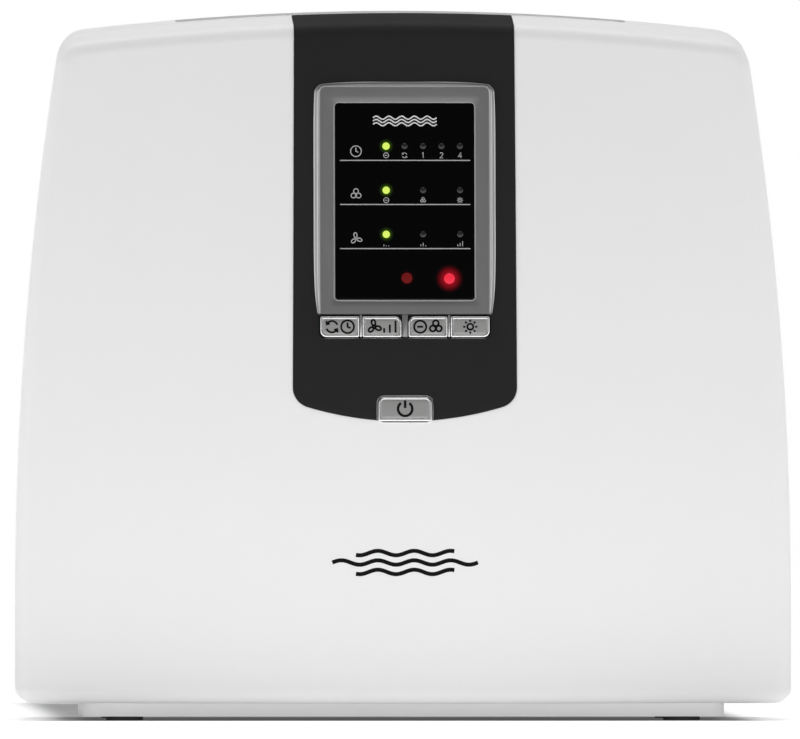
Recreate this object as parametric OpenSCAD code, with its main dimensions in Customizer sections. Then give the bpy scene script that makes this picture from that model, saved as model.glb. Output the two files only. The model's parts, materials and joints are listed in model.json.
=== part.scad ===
// Desktop air purifier: two curved shells on an inset plinth, a dark control
// strip down the front, and a fan, lamp and filter stack inside.
// Millimetres. The origin is on the table under the middle of the body,
// +X is to the right seen from the front, +Y to the back, +Z up.

/* [Body] */
// Width across the shells
body_w = 378; // [376:1:384]
// Height from the table to the crown of the top
body_h = 347.2; // [344:0.1:350]
// Depth from the front crown to the rear cover
body_d = 190; // [190:1:194]
// Wall of the shells
wall = 2.6; // [2.2:0.1:3]
// Height of the shells' lower edge over the table
skirt_z = 8.5; // [8:0.5:9]
// Height where the sides and the face stop being upright
belly_z = 58; // [50:1:66]
// Radius of the sides seen from the front
side_r = 1750; // [1600:10:1900]
// Radius of the top seen from the front
top_r = 1330; // [1250:10:1400]
// Radius of the top corners
corner_r = 14; // [12:0.5:16]
// Radius of the bottom corners
low_r = 8; // [8:0.5:10]
// Radius of the face seen from above
plan_r = 1100; // [1000:10:1300]
// Radius of the face seen from the side
lean_r = 2074; // [1900:10:2300]
// Fillet round the face
edge_r = 7; // [6:0.5:7.5]
// Fillet round the back
back_r = 18; // [14:1:20]

/* [Control strip] */
// Half width of the strip at its lower end
strip_w = 54.6; // [53:0.1:56]
// Height of the lowest point of the strip
strip_z = 146; // [144:0.5:147]
// Radius of the strip's lower edge
strip_r = 166; // [150:1:180]
// How far the strip stands out of the shell
strip_proud = 0.5; // [0.3:0.1:0.6]
// Lean of the display and its keys
panel_tilt = 5.4; // [5:0.1:5.8]
// Width of the display bezel
bezel_w = 90; // [88:1:92]
// Height of the display bezel
bezel_h = 114; // [112:1:115]
// Width of the window
window_w = 68; // [66:1:69]
// Height of the window
window_h = 96.4; // [94:0.2:97]
// Width of one key
key_w = 19; // [18:0.1:19]
// Height of one key
key_h = 10.2; // [9.8:0.1:10.2]
// Travel of the keys
key_travel = 0.6; // [0.4:0.1:0.7]

/* [Fan] */
// Height of the fan's axis
fan_z = 155; // [153:1:157]
// Outer radius of the impeller
fan_r = 75; // [70:1:76]
// Number of impeller blades
blades = 40; // [30:1:44]
// Diameter of the motor shaft
shaft_d = 8; // [8:0.5:8]
// Radial clearance of the shaft in its bearings
shaft_gap = 0.02; // [0.01:0.01:0.05]

/* [Filters] */
// Half width of the filters
filter_w = 124.5; // [122:0.5:124.5]
// Height of the filters
filter_h = 245; // [240:1:245]
// Pleats of the fine filter
pleats = 36; // [24:1:40]

/* [Hidden] */
$fn = 48;

half_w = body_w / 2;
front_y = -body_d / 2;
back_y = body_d / 2;
eps = 0.01;

// Planes across the body, front to back
part_y = front_y + 65;        // where the shells meet
bulkhead_y = part_y - 1;      // front face of the bulkhead
bulkhead_t = 3;
chamber_y = part_y + 55;      // front face of the filter chamber's plate
shell_back_y = back_y - 3;    // outer face of the rear shell
crown_y = 30;                 // the top is highest here
dome_r = 833;                 // radius of the top seen from the side
rim_y = -75;                  // where the top meets the face
side_draft = 0.03;            // how fast the sides draw in behind the joint
mid_z = (skirt_z + body_h) / 2;

// ---------- curves of the body ----------

// How far the top lies under its crown at depth y
function drop(y) = (y - crown_y) * (y - crown_y) / (2 * dome_r);

// How far the sides draw in behind the joint of the shells
function narrow(y) = side_draft * max(0, y - part_y);

// Depth of the front face at x, z
function face_y(x, z) = front_y + x * x / (2 * plan_r) + pow(max(0, z - belly_z), 2) / (2 * lean_r);

// Points of an arc, from angle a to angle b in n steps
function arc(c, r, a, b, n) = [for (i = [0:n]) c + r * [cos(a + (b - a) * i / n), sin(a + (b - a) * i / n)]];

// List without its first item
function rest(list) = [for (i = [1:len(list) - 1]) list[i]];

// Crossing of two circles that lies above and to the right of the line a to b
function crossing(a, ra, b, rb) =
    let (d = norm(b - a), t = (ra * ra - rb * rb + d * d) / (2 * d), e = (b - a) / d)
    a + t * e + sqrt(ra * ra - t * t) * [-e[1], e[0]];

// Right half of the body's outline at depth y, inset by d, from the bottom to the crown
function half_outline(d, y) =
    let (x_low = half_w - narrow(y) - d,
         r_low = max(low_r - d, 0.5),
         r_top = max(corner_r - d, 2),
         s = [half_w - narrow(y) - side_r, belly_z],
         t = [0, body_h - drop(y) - top_r],
         c = crossing(s, side_r - d - r_top, t, top_r - d - r_top),
         a_side = atan2(c[1] - s[1], c[0] - s[0]),
         a_top = atan2(c[1] - t[1], c[0] - t[0]))
    concat(
        [for (i = [0:5]) [(x_low - r_low) * i / 6, skirt_z + d]],
        arc([x_low - r_low, skirt_z + d + r_low], r_low, -90, 0, 3),
        arc(s, side_r - d, 0, a_side, 8),
        rest(arc(c, r_top, a_side, a_top, 4)),
        rest(arc(t, top_r - d, a_top, 90, 8)));

// Whole outline, anticlockwise seen from the front
function outline(d, y) =
    let (h = half_outline(d, y), n = len(h))
    concat(h, [for (i = [n - 2:-1:1]) [-h[i][0], h[i][1]]]);

// ---------- sculpted skins ----------

// Keeps a sculpted piece as the one fine mesh that it is
module meshed() {
    resize([0, 0, 0]) children();
}

// Closed skin through rings of equal length, from the point first to the point last
module skin(rings, first, last, flip = false) {
    n = len(rings[0]);
    m = len(rings);
    points = concat([first], [for (r = rings) each r], [last]);
    function at(k, i) = 1 + k * n + i % n;
    faces = concat(
        [for (i = [0:n - 1]) [0, at(0, i + 1), at(0, i)]],
        [for (k = [0:m - 2], i = [0:n - 1]) [at(k, i), at(k, i + 1), at(k + 1, i)]],
        [for (k = [0:m - 2], i = [0:n - 1]) [at(k, i + 1), at(k + 1, i + 1), at(k + 1, i)]],
        [for (i = [0:n - 1]) [at(m - 1, i), at(m - 1, i + 1), len(points) - 1]]);
    polyhedron(points, flip ? [for (f = faces) [f[2], f[1], f[0]]] : faces, convexity = 6);
}

// Ring on the face: the outline inset by d, shrunk by s, set back by in
function face_ring(d, s, in) = [for (p = outline(d, rim_y))
    let (x = s * p[0], z = mid_z + s * (p[1] - mid_z)) [x, face_y(x, z) + in, z]];

// Ring of the front fillet at angle a, for a skin set in by in
function fillet_ring(a, in) =
    [for (p = outline(in + (edge_r - in) * (1 - sin(a)), rim_y))
        [p[0], face_y(p[0], p[1]) + in + (edge_r - in) * (1 - cos(a)), p[1]]];

// Ring of the front side wall, t = 0 at the fillet and 1 at the joint
function wall_ring(t, in) =
    [for (p = outline(in, rim_y + t * (part_y - rim_y)))
        let (y = face_y(p[0], p[1]) + edge_r) [p[0], y + t * (part_y - y), p[1]]];

// Rings of the front skin set in by in, from the middle of the face to the joint
function front_rings(in) = concat(
    [for (s = [0.2:0.2:1]) face_ring(edge_r, s, in)],
    [for (a = [22.5:22.5:90]) fillet_ring(a, in)],
    [for (t = [1 / 3, 2 / 3, 1]) wall_ring(t, in)]);

// Front skin between two depths under the surface
module front_skin(outer, inner) {
    out = front_rings(outer);
    in = front_rings(inner);
    n = len(in);
    skin(concat(out, [for (i = [n - 1:-1:0]) in[i]]),
        [0, face_y(0, mid_z) + outer, mid_z], [0, face_y(0, mid_z) + inner, mid_z]);
}

// Ring of the rear skin at depth y, inset by d
function rear_ring(d, y) = [for (p = outline(d, y)) [p[0], y, p[1]]];

// Rings of the back's fillet, for a skin set in by in
function back_fillet(in) = [for (a = [0, 25, 50, 70, 90])
    rear_ring(in + (back_r - in) * (1 - sin(a)), shell_back_y - in - (back_r - in) * (1 - cos(a)))];

// Rear skin, with a shadow groove at the joint
module rear_skin() {
    groove = 0.7;
    inner = back_fillet(wall);
    skin(concat(
            back_fillet(0),
            [for (y = [50, crown_y, 10]) rear_ring(0, y)],
            [rear_ring(0, part_y + groove), rear_ring(groove, part_y + groove), rear_ring(groove, part_y)],
            [for (y = [part_y, 10, crown_y, 50]) rear_ring(wall, y)],
            [for (i = [len(inner) - 1:-1:0]) inner[i]]),
        [0, shell_back_y, mid_z], [0, shell_back_y - wall, mid_z], flip = true);
}

// ---------- plates and panel frame ----------

// Raises a flat shape in x, z into a plate between depths y0 and y1
module plate(y0, y1) {
    translate([0, y1, 0]) rotate([90, 0, 0]) linear_extrude(y1 - y0) children();
}

// A bar or bore along Y
module rod(x, z, r, y0, y1) {
    translate([x, y1, z]) rotate([90, 0, 0]) cylinder(r = r, h = y1 - y0);
}

// Block centred on x, z between two depths
module block(x, z, w, h, y0, y1) {
    translate([x - w / 2, y0, z - h / 2]) cube([w, y1 - y0, h]);
}

// Rectangle centred on the origin whose corners have radius r
module round_rect(w, h, r) {
    square([w - 2 * r, h], center = true);
    square([w, h - 2 * r], center = true);
    for (x = [-1, 1], y = [-1, 1]) translate([x * (w / 2 - r), y * (h / 2 - r)]) circle(r);
}

function has(list, item) = len([for (q = list) if (q == item) q]) > 0;

// Rectangle whose corners are round only where round_at names their signs
module key_shape(w, h, r, round_at) {
    square([w - 2 * r, h], center = true);
    square([w, h - 2 * r], center = true);
    for (x = [-1, 1], y = [-1, 1])
        translate([x * (w / 2 - r), y * (h / 2 - r)])
            if (has(round_at, [x, y])) circle(r);
            else square(2 * r, center = true);
}

// Frame of the display and keys: x across, z up the panel, -y out of the face
panel_z = 250;
panel_y = face_y(0, 200) + (panel_z - 200) * tan(panel_tilt);
module on_panel() {
    translate([0, panel_y, panel_z]) rotate([-panel_tilt, 0, 0]) children();
}

bezel_mid = 4.8;              // middle of the bezel and window above the panel's origin
window_mid = 3;
bezel_r = 4;                  // radius of the bezel's corners
window_r = 2;                 // radius of the window's corners
bezel_rim = 4;                // width of its raised rim
key_row = -58.4;              // middle of the row of keys
power_row = -98.4;            // middle of the power key
power_w = 26;
power_h = 12;
key_r = 3;
pair_gap = 1.6;               // gap between the two keys of a pair
centre_gap = 3.4;             // gap between the pairs
fit_gap = 0.25;               // gap round a key or bezel
switch_w = 6;
switch_h = 3.5;
plunger_r = 1.6;
stem_r = 2.5;                 // stem behind a key
plunger_hold = 1;             // how far a plunger stands in its switch and out of it

// Depths along the panel's own y
panel_reach = 9;              // its openings are cut this far out and in
bezel_front = -2.4;
bezel_flat = -1.4;
bezel_back = 5;
window_front = -1.2;
window_back = 1.1;
key_back = 3.4;
board_y = 10;                 // front face of the control board
board_t = 1.6;

// Middle of each key: mode, speed, function, uv and power
inner_key_x = centre_gap / 2 + key_w / 2;
outer_key_x = inner_key_x + key_w + pair_gap;
KEYS = [
    [-outer_key_x, key_row, key_w, key_h, [[-1, -1]]],
    [-inner_key_x, key_row, key_w, key_h, [[1, 1]]],
    [inner_key_x, key_row, key_w, key_h, [[-1, 1]]],
    [outer_key_x, key_row, key_w, key_h, [[1, -1]]],
    [0, power_row, power_w, power_h, [[-1, 1], [1, 1]]],
];
key_front = [-1.8, -1.8, -1.8, -1.8, 0];   // the row stands out, the power key lies flush

module key_outline(i, grow = 0) {
    k = KEYS[i];
    translate([k[0], k[1]]) key_shape(k[2] + 2 * grow, k[3] + 2 * grow, key_r + grow, k[4]);
}

// Openings for the bezel and the keys
module panel_holes() {
    on_panel() plate(-panel_reach, panel_reach) {
        translate([0, bezel_mid]) round_rect(bezel_w + 2 * fit_gap, bezel_h + 2 * fit_gap, bezel_r);
        for (i = [0:len(KEYS) - 1]) key_outline(i, fit_gap);
    }
}

strip_top = body_h + 20;      // the strip runs on over the top
strip_taper = 1.1;            // how much each of its sides draws in up to there
strip_seat = 1.2;             // depth of its seat in the front shell

// Front view of the control strip
module strip_shape(grow = 0) {
    corner = 10;
    offset(r = corner + grow) offset(delta = -corner) intersection() {
        polygon([[-strip_w, strip_z], [strip_w, strip_z],
            [strip_w - strip_taper, strip_top], [strip_taper - strip_w, strip_top]]);
        translate([0, strip_z + strip_r]) union() {
            circle(strip_r, $fn = 360);
            translate([-strip_r, 0]) square(2 * strip_r);
        }
    }
}

// ---------- casing ----------

post_at = [[160, 26], [146, 300]];
post_r = 6;
screw_r = 1.6;
screw_head_r = 3.8;
screw_seat_y = part_y + 4;    // where the heads of the screws sit

// Screw posts of one shell, mirrored left and right
module posts(y0, y1, r) {
    for (p = post_at, side = [-1, 1]) rod(side * p[0], p[1], r, y0, y1);
}

module front_shell() {
    color("white") meshed() difference() {
        union() {
            front_skin(0, wall);
            for (p = post_at, side = [-1, 1])
                rod(side * p[0], p[1], post_r, face_y(p[0], p[1]) + wall / 2, bulkhead_y);
        }
        intersection() {
            front_skin(-2, strip_seat + 0.1);
            plate(front_y - 5, part_y + 5) strip_shape(0.15);
        }
        panel_holes();
        posts(part_y - 22, part_y + 1, screw_r + 0.2);
    }
}

// The filters' way out through the rear shell
door_w = 256;
door_h = 252;
door_z = 165;

// Outlet in the top, over the fan's duct
outlet_w = 220;
outlet_y0 = part_y + 8;
outlet_y1 = chamber_y - 2;
outlet_mid = (outlet_y0 + outlet_y1) / 2;

// Mains inlet beside the door
inlet_x = 153;
inlet_z = 46;
inlet_w = 24;
inlet_h = 17;
inlet_d = 22;                 // depth of its body behind the shell
recess_y = shell_back_y - 14.4;   // floor of its recess
pin_pitch = 8.6;
pin_r = 1.2;
tail_r = 1;                   // the pins are thinner where the body holds them

// Switch that the closed door presses
switch_x = 50;
switch_z = door_z + door_h / 2 + 3.5;
switch_pin_r = 1.9;

module rear_shell() {
    color("white") meshed() difference() {
        union() {
            rear_skin();
            posts(bulkhead_y + bulkhead_t, shell_back_y - 1, post_r);
        }
        block(0, door_z, door_w, door_h, shell_back_y - 10, back_y);
        translate([-outlet_w / 2, outlet_y0, body_h - 40]) cube([outlet_w, outlet_y1 - outlet_y0, 60]);
        block(inlet_x, inlet_z, inlet_w + 0.6, inlet_h + 0.6, shell_back_y - 10, back_y);
        rod(switch_x, switch_z, switch_pin_r + 0.5, shell_back_y - 5, back_y);
        posts(part_y - 1, part_y + 12, screw_r + 0.5);
        posts(screw_seat_y, back_y, screw_head_r + 0.4);
    }
}

plinth_w = 313;
plinth_d = 150;
plinth_r = 10;
plinth_t = 2.5;
foot_x = 136;
foot_y = 58;
foot_r = 9;
foot_h = 2;
foot_stem_r = 4;
foot_stem_h = 4;

module foot_places() {
    for (x = [-foot_x, foot_x], y = [-foot_y, foot_y]) translate([x, y, 0]) children();
}

// Open tray that carries the shells
module base_plate() {
    color("gainsboro") difference() {
        translate([0, 0, foot_h]) linear_extrude(skirt_z - foot_h) round_rect(plinth_w, plinth_d, plinth_r);
        translate([0, 0, foot_h + plinth_t]) linear_extrude(skirt_z)
            round_rect(plinth_w - 2 * plinth_t, plinth_d - 2 * plinth_t, plinth_r - plinth_t);
        foot_places() translate([0, 0, foot_h - 1]) cylinder(r = foot_stem_r + 0.1, h = 10);
    }
}

module rubber_feet() {
    color("dimgray") foot_places() {
        cylinder(r = foot_r, h = foot_h);
        translate([0, 0, foot_h - eps]) cylinder(r = foot_stem_r, h = foot_stem_h);
    }
}

// The outlet's bars run front to back and follow the curve of the top
module outlet_grille() {
    w = outlet_w - 0.6;
    d = outlet_y1 - outlet_y0 - 0.6;
    rim = 3;
    pitch = 8;
    bar_t = 2.4;
    bar_z = body_h - 18;
    over = 40;                // raised past the top, then cut off along its curve
    bars = floor((w - 2 * rim) / pitch);
    color("white") intersection() {
        translate([0, outlet_mid, 0]) union() {
            translate([0, 0, body_h - 22]) linear_extrude(over) difference() {
                square([w, d], center = true);
                square([w - 2 * rim, d - 2 * rim], center = true);
            }
            for (i = [0:bars])
                translate([(i - bars / 2) * pitch - bar_t / 2, -d / 2 + 1, bar_z]) cube([bar_t, d - 2, over]);
            translate([-w / 2 + 1, -1.5, bar_z]) cube([w - 2, 3, 6]);
        }
        translate([0, outlet_y1 + 10, body_h - drop(outlet_y0) - 0.3 - top_r]) rotate([90, 0, 0])
            cylinder(r = top_r, h = 80, $fn = 720);
    }
}

// Openings of the rear cover: rows of slots with round ends
module intake_slots() {
    slot_l = 74;
    slot_h = 5;
    across = slot_l + 10;
    up = 12;
    for (column = [-1:1], row = [-9:9])
        translate([column * across, row * up]) {
            square([slot_l - slot_h, slot_h], center = true);
            for (end = [-1, 1]) translate([end * (slot_l - slot_h) / 2, 0]) circle(slot_h / 2, $fn = 16);
        }
}

// Slotted plate with a finger pull, and a lip that plugs into the door opening
module rear_cover() {
    lip = 3;
    margin = 6;
    plug_w = door_w - 1.4;
    plug_h = door_h - 1.4;
    seat_y = shell_back_y + 0.3;
    color("white") translate([0, 0, door_z]) {
        plate(seat_y, back_y) difference() {
            round_rect(door_w + 2 * margin, door_h + 2 * margin, 8);
            intake_slots();
            translate([0, door_h / 2 - 5]) round_rect(34, 8, 3);
        }
        plate(shell_back_y - wall - 0.8, seat_y + eps) difference() {
            square([plug_w, plug_h], center = true);
            square([plug_w - 2 * lip, plug_h - 2 * lip], center = true);
        }
    }
}

// ---------- control strip, display and keys ----------

module fascia_strip() {
    color("dimgray") meshed() difference() {
        intersection() {
            front_skin(-strip_proud, strip_seat);
            plate(front_y - 5, part_y) strip_shape();
        }
        panel_holes();
    }
}

// Frame with a raised rim, and a ledge for the window to lie on
module display_bezel() {
    over = bezel_front - 1;
    fit = 0.4;
    ledge = 2.5;
    color("gray") on_panel() translate([0, 0, bezel_mid]) difference() {
        plate(bezel_front, bezel_back) round_rect(bezel_w, bezel_h, bezel_r);
        plate(over, bezel_flat) round_rect(bezel_w - 2 * bezel_rim, bezel_h - 2 * bezel_rim, 2.5);
        translate([0, 0, window_mid - bezel_mid]) {
            plate(over, window_back) round_rect(window_w + fit, window_h + fit, window_r + fit / 2);
            plate(over, bezel_back + 1) round_rect(window_w - 2 * ledge, window_h - 2 * ledge, 1.5);
        }
    }
}

// Lamps of the display: three rows of small ones and a pair of large ones
led_pitch = 9;
led_rows = [[30.1, [-1:3]], [8.5, [-1:2:3]], [-13.1, [-1:2:3]]];
led_r = 1.5;
status_leds_at = [[1, -34.5], [21.7, -34.8]];
status_r = 2.5;
led_gap = 0.1;

module at_leds() {
    for (row = led_rows, column = row[1]) translate([column * led_pitch, 0, row[0]]) children();
}

module display_window() {
    color("black") on_panel() difference() {
        translate([0, 0, window_mid]) plate(window_front, window_back)
            round_rect(window_w, window_h, window_r);
        at_leds() rod(0, 0, led_r + led_gap, window_front - 1, window_back + 1);
        for (p = status_leds_at) rod(p[0], p[1], status_r + led_gap, window_front - 1, window_back + 1);
    }
}

// A lamp with a collar, standing on the board
module led(r, front) {
    rod(0, 0, r, front, board_y);
    rod(0, 0, r + 0.5, board_y - 2, board_y);
}

module indicator_leds() {
    color("yellow") on_panel() at_leds() led(led_r, window_front - 0.1);
}

module status_leds() {
    color("red") on_panel() for (p = status_leds_at)
        translate([p[0], 0, p[1]]) led(status_r, window_front - 0.2);
}

board_w = 98;
board_h = 176;
board_mid = -24;              // middle of the control board above the panel's origin
board_hole_r = 1.8;
board_edge = 4;               // distance of the hole's middle from the board's sides
board_end = 5;                // and from its ends

module control_board() {
    color("darkgreen") on_panel() translate([0, 0, board_mid]) difference() {
        plate(board_y, board_y + board_t) square([board_w, board_h], center = true);
        for (x = [-1, 1], z = [-1, 1])
            rod(x * (board_w / 2 - board_edge), z * (board_h / 2 - board_end), board_hole_r,
                board_y - 1, board_y + board_t + 1);
    }
}

// Small switches with room for their plungers to travel
module tact_switches() {
    top = board_y - switch_h;
    color("black") on_panel() for (k = KEYS) difference() {
        block(k[0], k[1], switch_w, switch_w, top, board_y);
        rod(k[0], k[1], plunger_r + 0.1, top - 1, top + plunger_hold + key_travel + 0.4);
    }
}

// A key cap with its stem; i counts along KEYS
module button(i) {
    k = KEYS[i];
    color("silver") on_panel() {
        plate(key_front[i], key_back) key_outline(i);
        rod(k[0], k[1], stem_r, key_back - eps, board_y - switch_h - plunger_hold);
    }
}

module plunger(i) {
    k = KEYS[i];
    tip = board_y - switch_h;
    color("ivory") on_panel() rod(k[0], k[1], plunger_r, tip - plunger_hold, tip + plunger_hold);
}

// ---------- fan compartment ----------

board_rear_y = bulkhead_y - 11.4;   // rear face of the power board
board_front_y = board_rear_y - board_t;
motor_screw_r = 1.9;
ear_r = 46;                   // where the motor's ears lie
ear_at = [30, 150, 270];      // angles of the ears

module at_ears() {
    for (a = ear_at) translate([ear_r * cos(a), 0, fan_z + ear_r * sin(a)]) children();
}

power_board_at = [-105, 130];
power_board_size = [84, 120];
standoff_at = [for (x = [-1, 1], z = [-1, 1])
    power_board_at + [x * (power_board_size[0] / 2 - 5), z * (power_board_size[1] / 2 - 5)]];

module fan_bulkhead() {
    color("gainsboro") difference() {
        union() {
            plate(bulkhead_y, bulkhead_y + bulkhead_t) polygon(outline(wall + 1, part_y));
            for (p = standoff_at) rod(p[0], p[1], 3.5, board_rear_y, bulkhead_y + eps);
        }
        rod(0, fan_z, 16, bulkhead_y - 1, bulkhead_y + 4);
        at_ears() rod(0, 0, 2.1, bulkhead_y - 1, bulkhead_y + 4);
        for (p = standoff_at) rod(p[0], p[1], 1.25, board_rear_y - 1, bulkhead_y - 1);
        posts(bulkhead_y - 1, bulkhead_y + 4, screw_r + 0.6);
        block(inlet_x, inlet_z, 16, 16, bulkhead_y - 1, bulkhead_y + 4);
    }
}

// Spiral wall round the impeller, opening into a duct under the outlet grille
scroll_start = 120;
scroll_r = fan_r + 7;
scroll_growth = 38;
duct_top = body_h - 24;
duct_half = outlet_w / 2 - 2;

function scroll_outline(w) = concat(
    [for (i = [0:32]) let (a = scroll_start + i * 240 / 32, r = scroll_r + scroll_growth * i / 32 + w)
        [r * cos(a), fan_z + r * sin(a)]],
    [[duct_half + w, duct_top], [-duct_half - w, duct_top],
        [-duct_half - w, fan_z + scroll_r + 42]]);

module scroll_wall() {
    color("gainsboro") plate(bulkhead_y + bulkhead_t, chamber_y) difference() {
        polygon(scroll_outline(2.4));
        polygon(scroll_outline(0));
        translate([-duct_half, duct_top - 10]) square([2 * duct_half, 20]);
    }
}

chamber_w = door_w - 1;
chamber_h = door_h - 1;
inlet_r = 64;

// Box for the filters, with the fan's round inlet in its front wall
module filter_chamber() {
    t = 2;
    color("gainsboro") difference() {
        translate([0, 0, door_z]) {
            plate(chamber_y, chamber_y + 3) round_rect(chamber_w + 10, chamber_h + 10, 6);
            plate(chamber_y + 3 - eps, shell_back_y - wall - 1.2) difference() {
                square([chamber_w, chamber_h], center = true);
                square([chamber_w - 2 * t, chamber_h - 2 * t], center = true);
            }
        }
        rod(0, fan_z, inlet_r, chamber_y - 1, chamber_y + 4);
    }
}

// Bell mouth that leads the air into the impeller, with a finger guard
module inlet_ring() {
    throat = fan_r - 17;
    guard_t = 1.6;
    color("silver") translate([0, chamber_y + 3, fan_z]) {
        rotate([-90, 0, 0]) rotate_extrude() {
            translate([throat, -8]) square([2, 10]);
            translate([throat, 0]) square([12, 2]);
        }
        for (r = [18, 32, 46]) plate(0, guard_t) difference() {
            circle(r);
            circle(r - 2);
        }
        for (a = [0, 60, 120]) rotate([0, a, 0])
            translate([-throat - 1, 0, -1]) cube([2 * throat + 2, guard_t, 2]);
    }
}

// ---------- impeller and motor ----------

impeller_y0 = part_y + 6;
impeller_y1 = chamber_y - 7;
blade_depth = 13;
bore_gap = 0.03;

module impeller() {
    color("dimgray") translate([0, 0, fan_z]) {
        difference() {
            union() {
                plate(impeller_y0, impeller_y0 + 2) circle(fan_r, $fn = 96);
                rod(0, 0, 12, impeller_y0, impeller_y0 + 18);
            }
            rod(0, 0, shaft_d / 2 + bore_gap, impeller_y0 - 1, impeller_y0 + 20);
        }
        plate(impeller_y1 - 2, impeller_y1) difference() {
            circle(fan_r, $fn = 96);
            circle(fan_r - blade_depth, $fn = 96);
        }
        for (i = [0:blades - 1]) rotate([0, i * 360 / blades, 0])
            plate(impeller_y0 + 2 - eps, impeller_y1 - 2 + eps)
                polygon([[fan_r - blade_depth, 0], [fan_r - 6, 2.2], [fan_r - 0.5, 7],
                    [fan_r - 0.9, 8.2], [fan_r - 6.5, 3.4], [fan_r - blade_depth, 1.2]]);
    }
}

nut_h = 6;

module impeller_nut() {
    color("silver") translate([0, 0, fan_z]) difference() {
        rotate([90, 0, 0]) translate([0, 0, -impeller_y0 - 18 - nut_h]) cylinder(r = 7, h = nut_h, $fn = 6);
        rod(0, 0, shaft_d / 2 + bore_gap, impeller_y0, impeller_y0 + 40);
    }
}

motor_r = 36;
motor_y0 = bulkhead_y - 39;   // front face of the motor
motor_y1 = bulkhead_y - 2.5;
core_y0 = motor_y0 + 9;       // laminations of the stator and rotor
core_y1 = motor_y0 + 26;
bearing_r = 8;

module motor_shaft() {
    color("silver") rod(0, fan_z, shaft_d / 2, motor_y0 - 5, impeller_y0 + 27);
}

module motor_rotor() {
    color("gray") difference() {
        rod(0, fan_z, 19.2, core_y0, core_y1);
        rod(0, fan_z, shaft_d / 2 + bore_gap, core_y0 - 1, core_y1 + 1);
    }
}

module motor_stator() {
    slots = 12;
    color("gray") translate([0, 0, fan_z]) plate(core_y0, core_y1) difference() {
        circle(motor_r - 2.1);
        circle(19.7);
        for (i = [0:slots - 1]) rotate(i * 360 / slots) translate([24, 0]) square([10, 4], center = true);
    }
}

// Copper end turns on both faces of the stator
module motor_windings() {
    color("peru") for (y = [core_y0 - 3.3, core_y1 + 3.3]) translate([0, y, fan_z])
        rotate([90, 0, 0]) rotate_extrude() translate([26, 0]) circle(3.2, $fn = 24);
}

module motor_housing() {
    end_t = 2;
    color("silver") difference() {
        union() {
            rod(0, fan_z, motor_r, motor_y0, motor_y1);
            at_ears() rod(0, 0, 6, motor_y1 - 2.5, motor_y1);
        }
        rod(0, fan_z, motor_r - 2, motor_y0 + end_t, motor_y1 - end_t);
        rod(0, fan_z, bearing_r + 0.05, motor_y0 - 1, motor_y1 + 1);
        at_ears() rod(0, 0, 4.1, motor_y1 - 4, motor_y1 + 1);
    }
}

module motor_bearings() {
    color("peru") for (y = [motor_y0 - 2, motor_y1 - 4]) difference() {
        rod(0, fan_z, bearing_r, y, y + 6);
        rod(0, fan_z, shaft_d / 2 + shaft_gap, y - 1, y + 7);
    }
}

module motor_grommets() {
    color("black") at_ears() translate([0, motor_y1, 0]) rotate([-90, 0, 0]) rotate_extrude() {
        translate([2.1, -5]) square([1.9, 7.5]);
        translate([2.1, -5]) square([4.4, 2.4]);
        translate([2.1, 0.1]) square([4.4, 2.4]);
    }
}

module motor_screws() {
    color("silver") at_ears() {
        rod(0, 0, motor_screw_r, motor_y1 - 6, bulkhead_y + bulkhead_t + 1.5);
        rod(0, 0, 3.6, motor_y1 - 7.6, motor_y1 - 5);
    }
}

// ---------- filters and lamp ----------

// Depths of the filters' front faces and their thicknesses
catalyst_y = chamber_y + 21.5;
catalyst_t = 7;
carbon_y = catalyst_y + catalyst_t + 1;
carbon_t = 8;
hepa_y = carbon_y + carbon_t + 1;
hepa_t = 20;
prefilter_y = hepa_y + hepa_t + 0.9;
prefilter_t = 3.2;

module filter_rim(y, t, rim) {
    translate([0, 0, door_z]) plate(y, y + t) difference() {
        square([2 * filter_w, filter_h], center = true);
        square([2 * (filter_w - rim), filter_h - 2 * rim], center = true);
    }
}

// A filter whose core lies a little inside its rim
module cored_filter(y, t, rim, inset) {
    filter_rim(y, t, rim);
    block(0, door_z, 2 * (filter_w - rim) + 2 * eps, filter_h - 2 * rim + 2 * eps, y + inset, y + t - inset);
}

module catalyst_filter() {
    color("gray") cored_filter(catalyst_y, catalyst_t, 6, 1);
}

module carbon_filter() {
    color("black") cored_filter(carbon_y, carbon_t, 6, 1);
}

hepa_rim = 7;

module hepa_frame() {
    color("white") filter_rim(hepa_y, hepa_t, hepa_rim);
}

// Folded paper: a zigzag seen from above, standing inside the frame
module hepa_pleats() {
    half = filter_w - hepa_rim - 0.3;
    h = filter_h - 2 * hepa_rim - 0.6;
    paper = 1.2;
    fold = [for (i = [0:2 * pleats])
        [-half + i * half / pleats, i % 2 == 0 ? hepa_y + 1.5 : hepa_y + hepa_t - 1.5 - paper]];
    color("ivory") translate([0, 0, door_z - h / 2]) linear_extrude(h)
        polygon(concat(fold, [for (i = [len(fold) - 1:-1:0]) fold[i] + [0, paper]]));
}

module hepa_pull_tab() {
    y = hepa_y + hepa_t;
    color("royalblue") block(0, door_z + filter_h / 2 - 24, 22, 40, y, y + 0.4);
}

module prefilter() {
    cells = 6;
    color("dimgray") {
        translate([0, 0, door_z]) plate(prefilter_y, prefilter_y + prefilter_t) difference() {
            square([2 * filter_w, filter_h], center = true);
            for (x = [0:cells - 1], z = [0:cells - 1])
                translate([(x - (cells - 1) / 2) * 40, (z - (cells - 1) / 2) * 39])
                    square([37, 36], center = true);
        }
        block(0, door_z, 2 * filter_w - 4, filter_h - 4, prefilter_y + 1.2, prefilter_y + 1.8);
    }
}

lamp_y = chamber_y + 12;
lamp_z = 262;
lamp_half = 68;
lamp_r = 8;

module uv_lamp() {
    color("lightblue") translate([-lamp_half, lamp_y, lamp_z]) rotate([0, 90, 0])
        cylinder(r = lamp_r, h = 2 * lamp_half);
}

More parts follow.
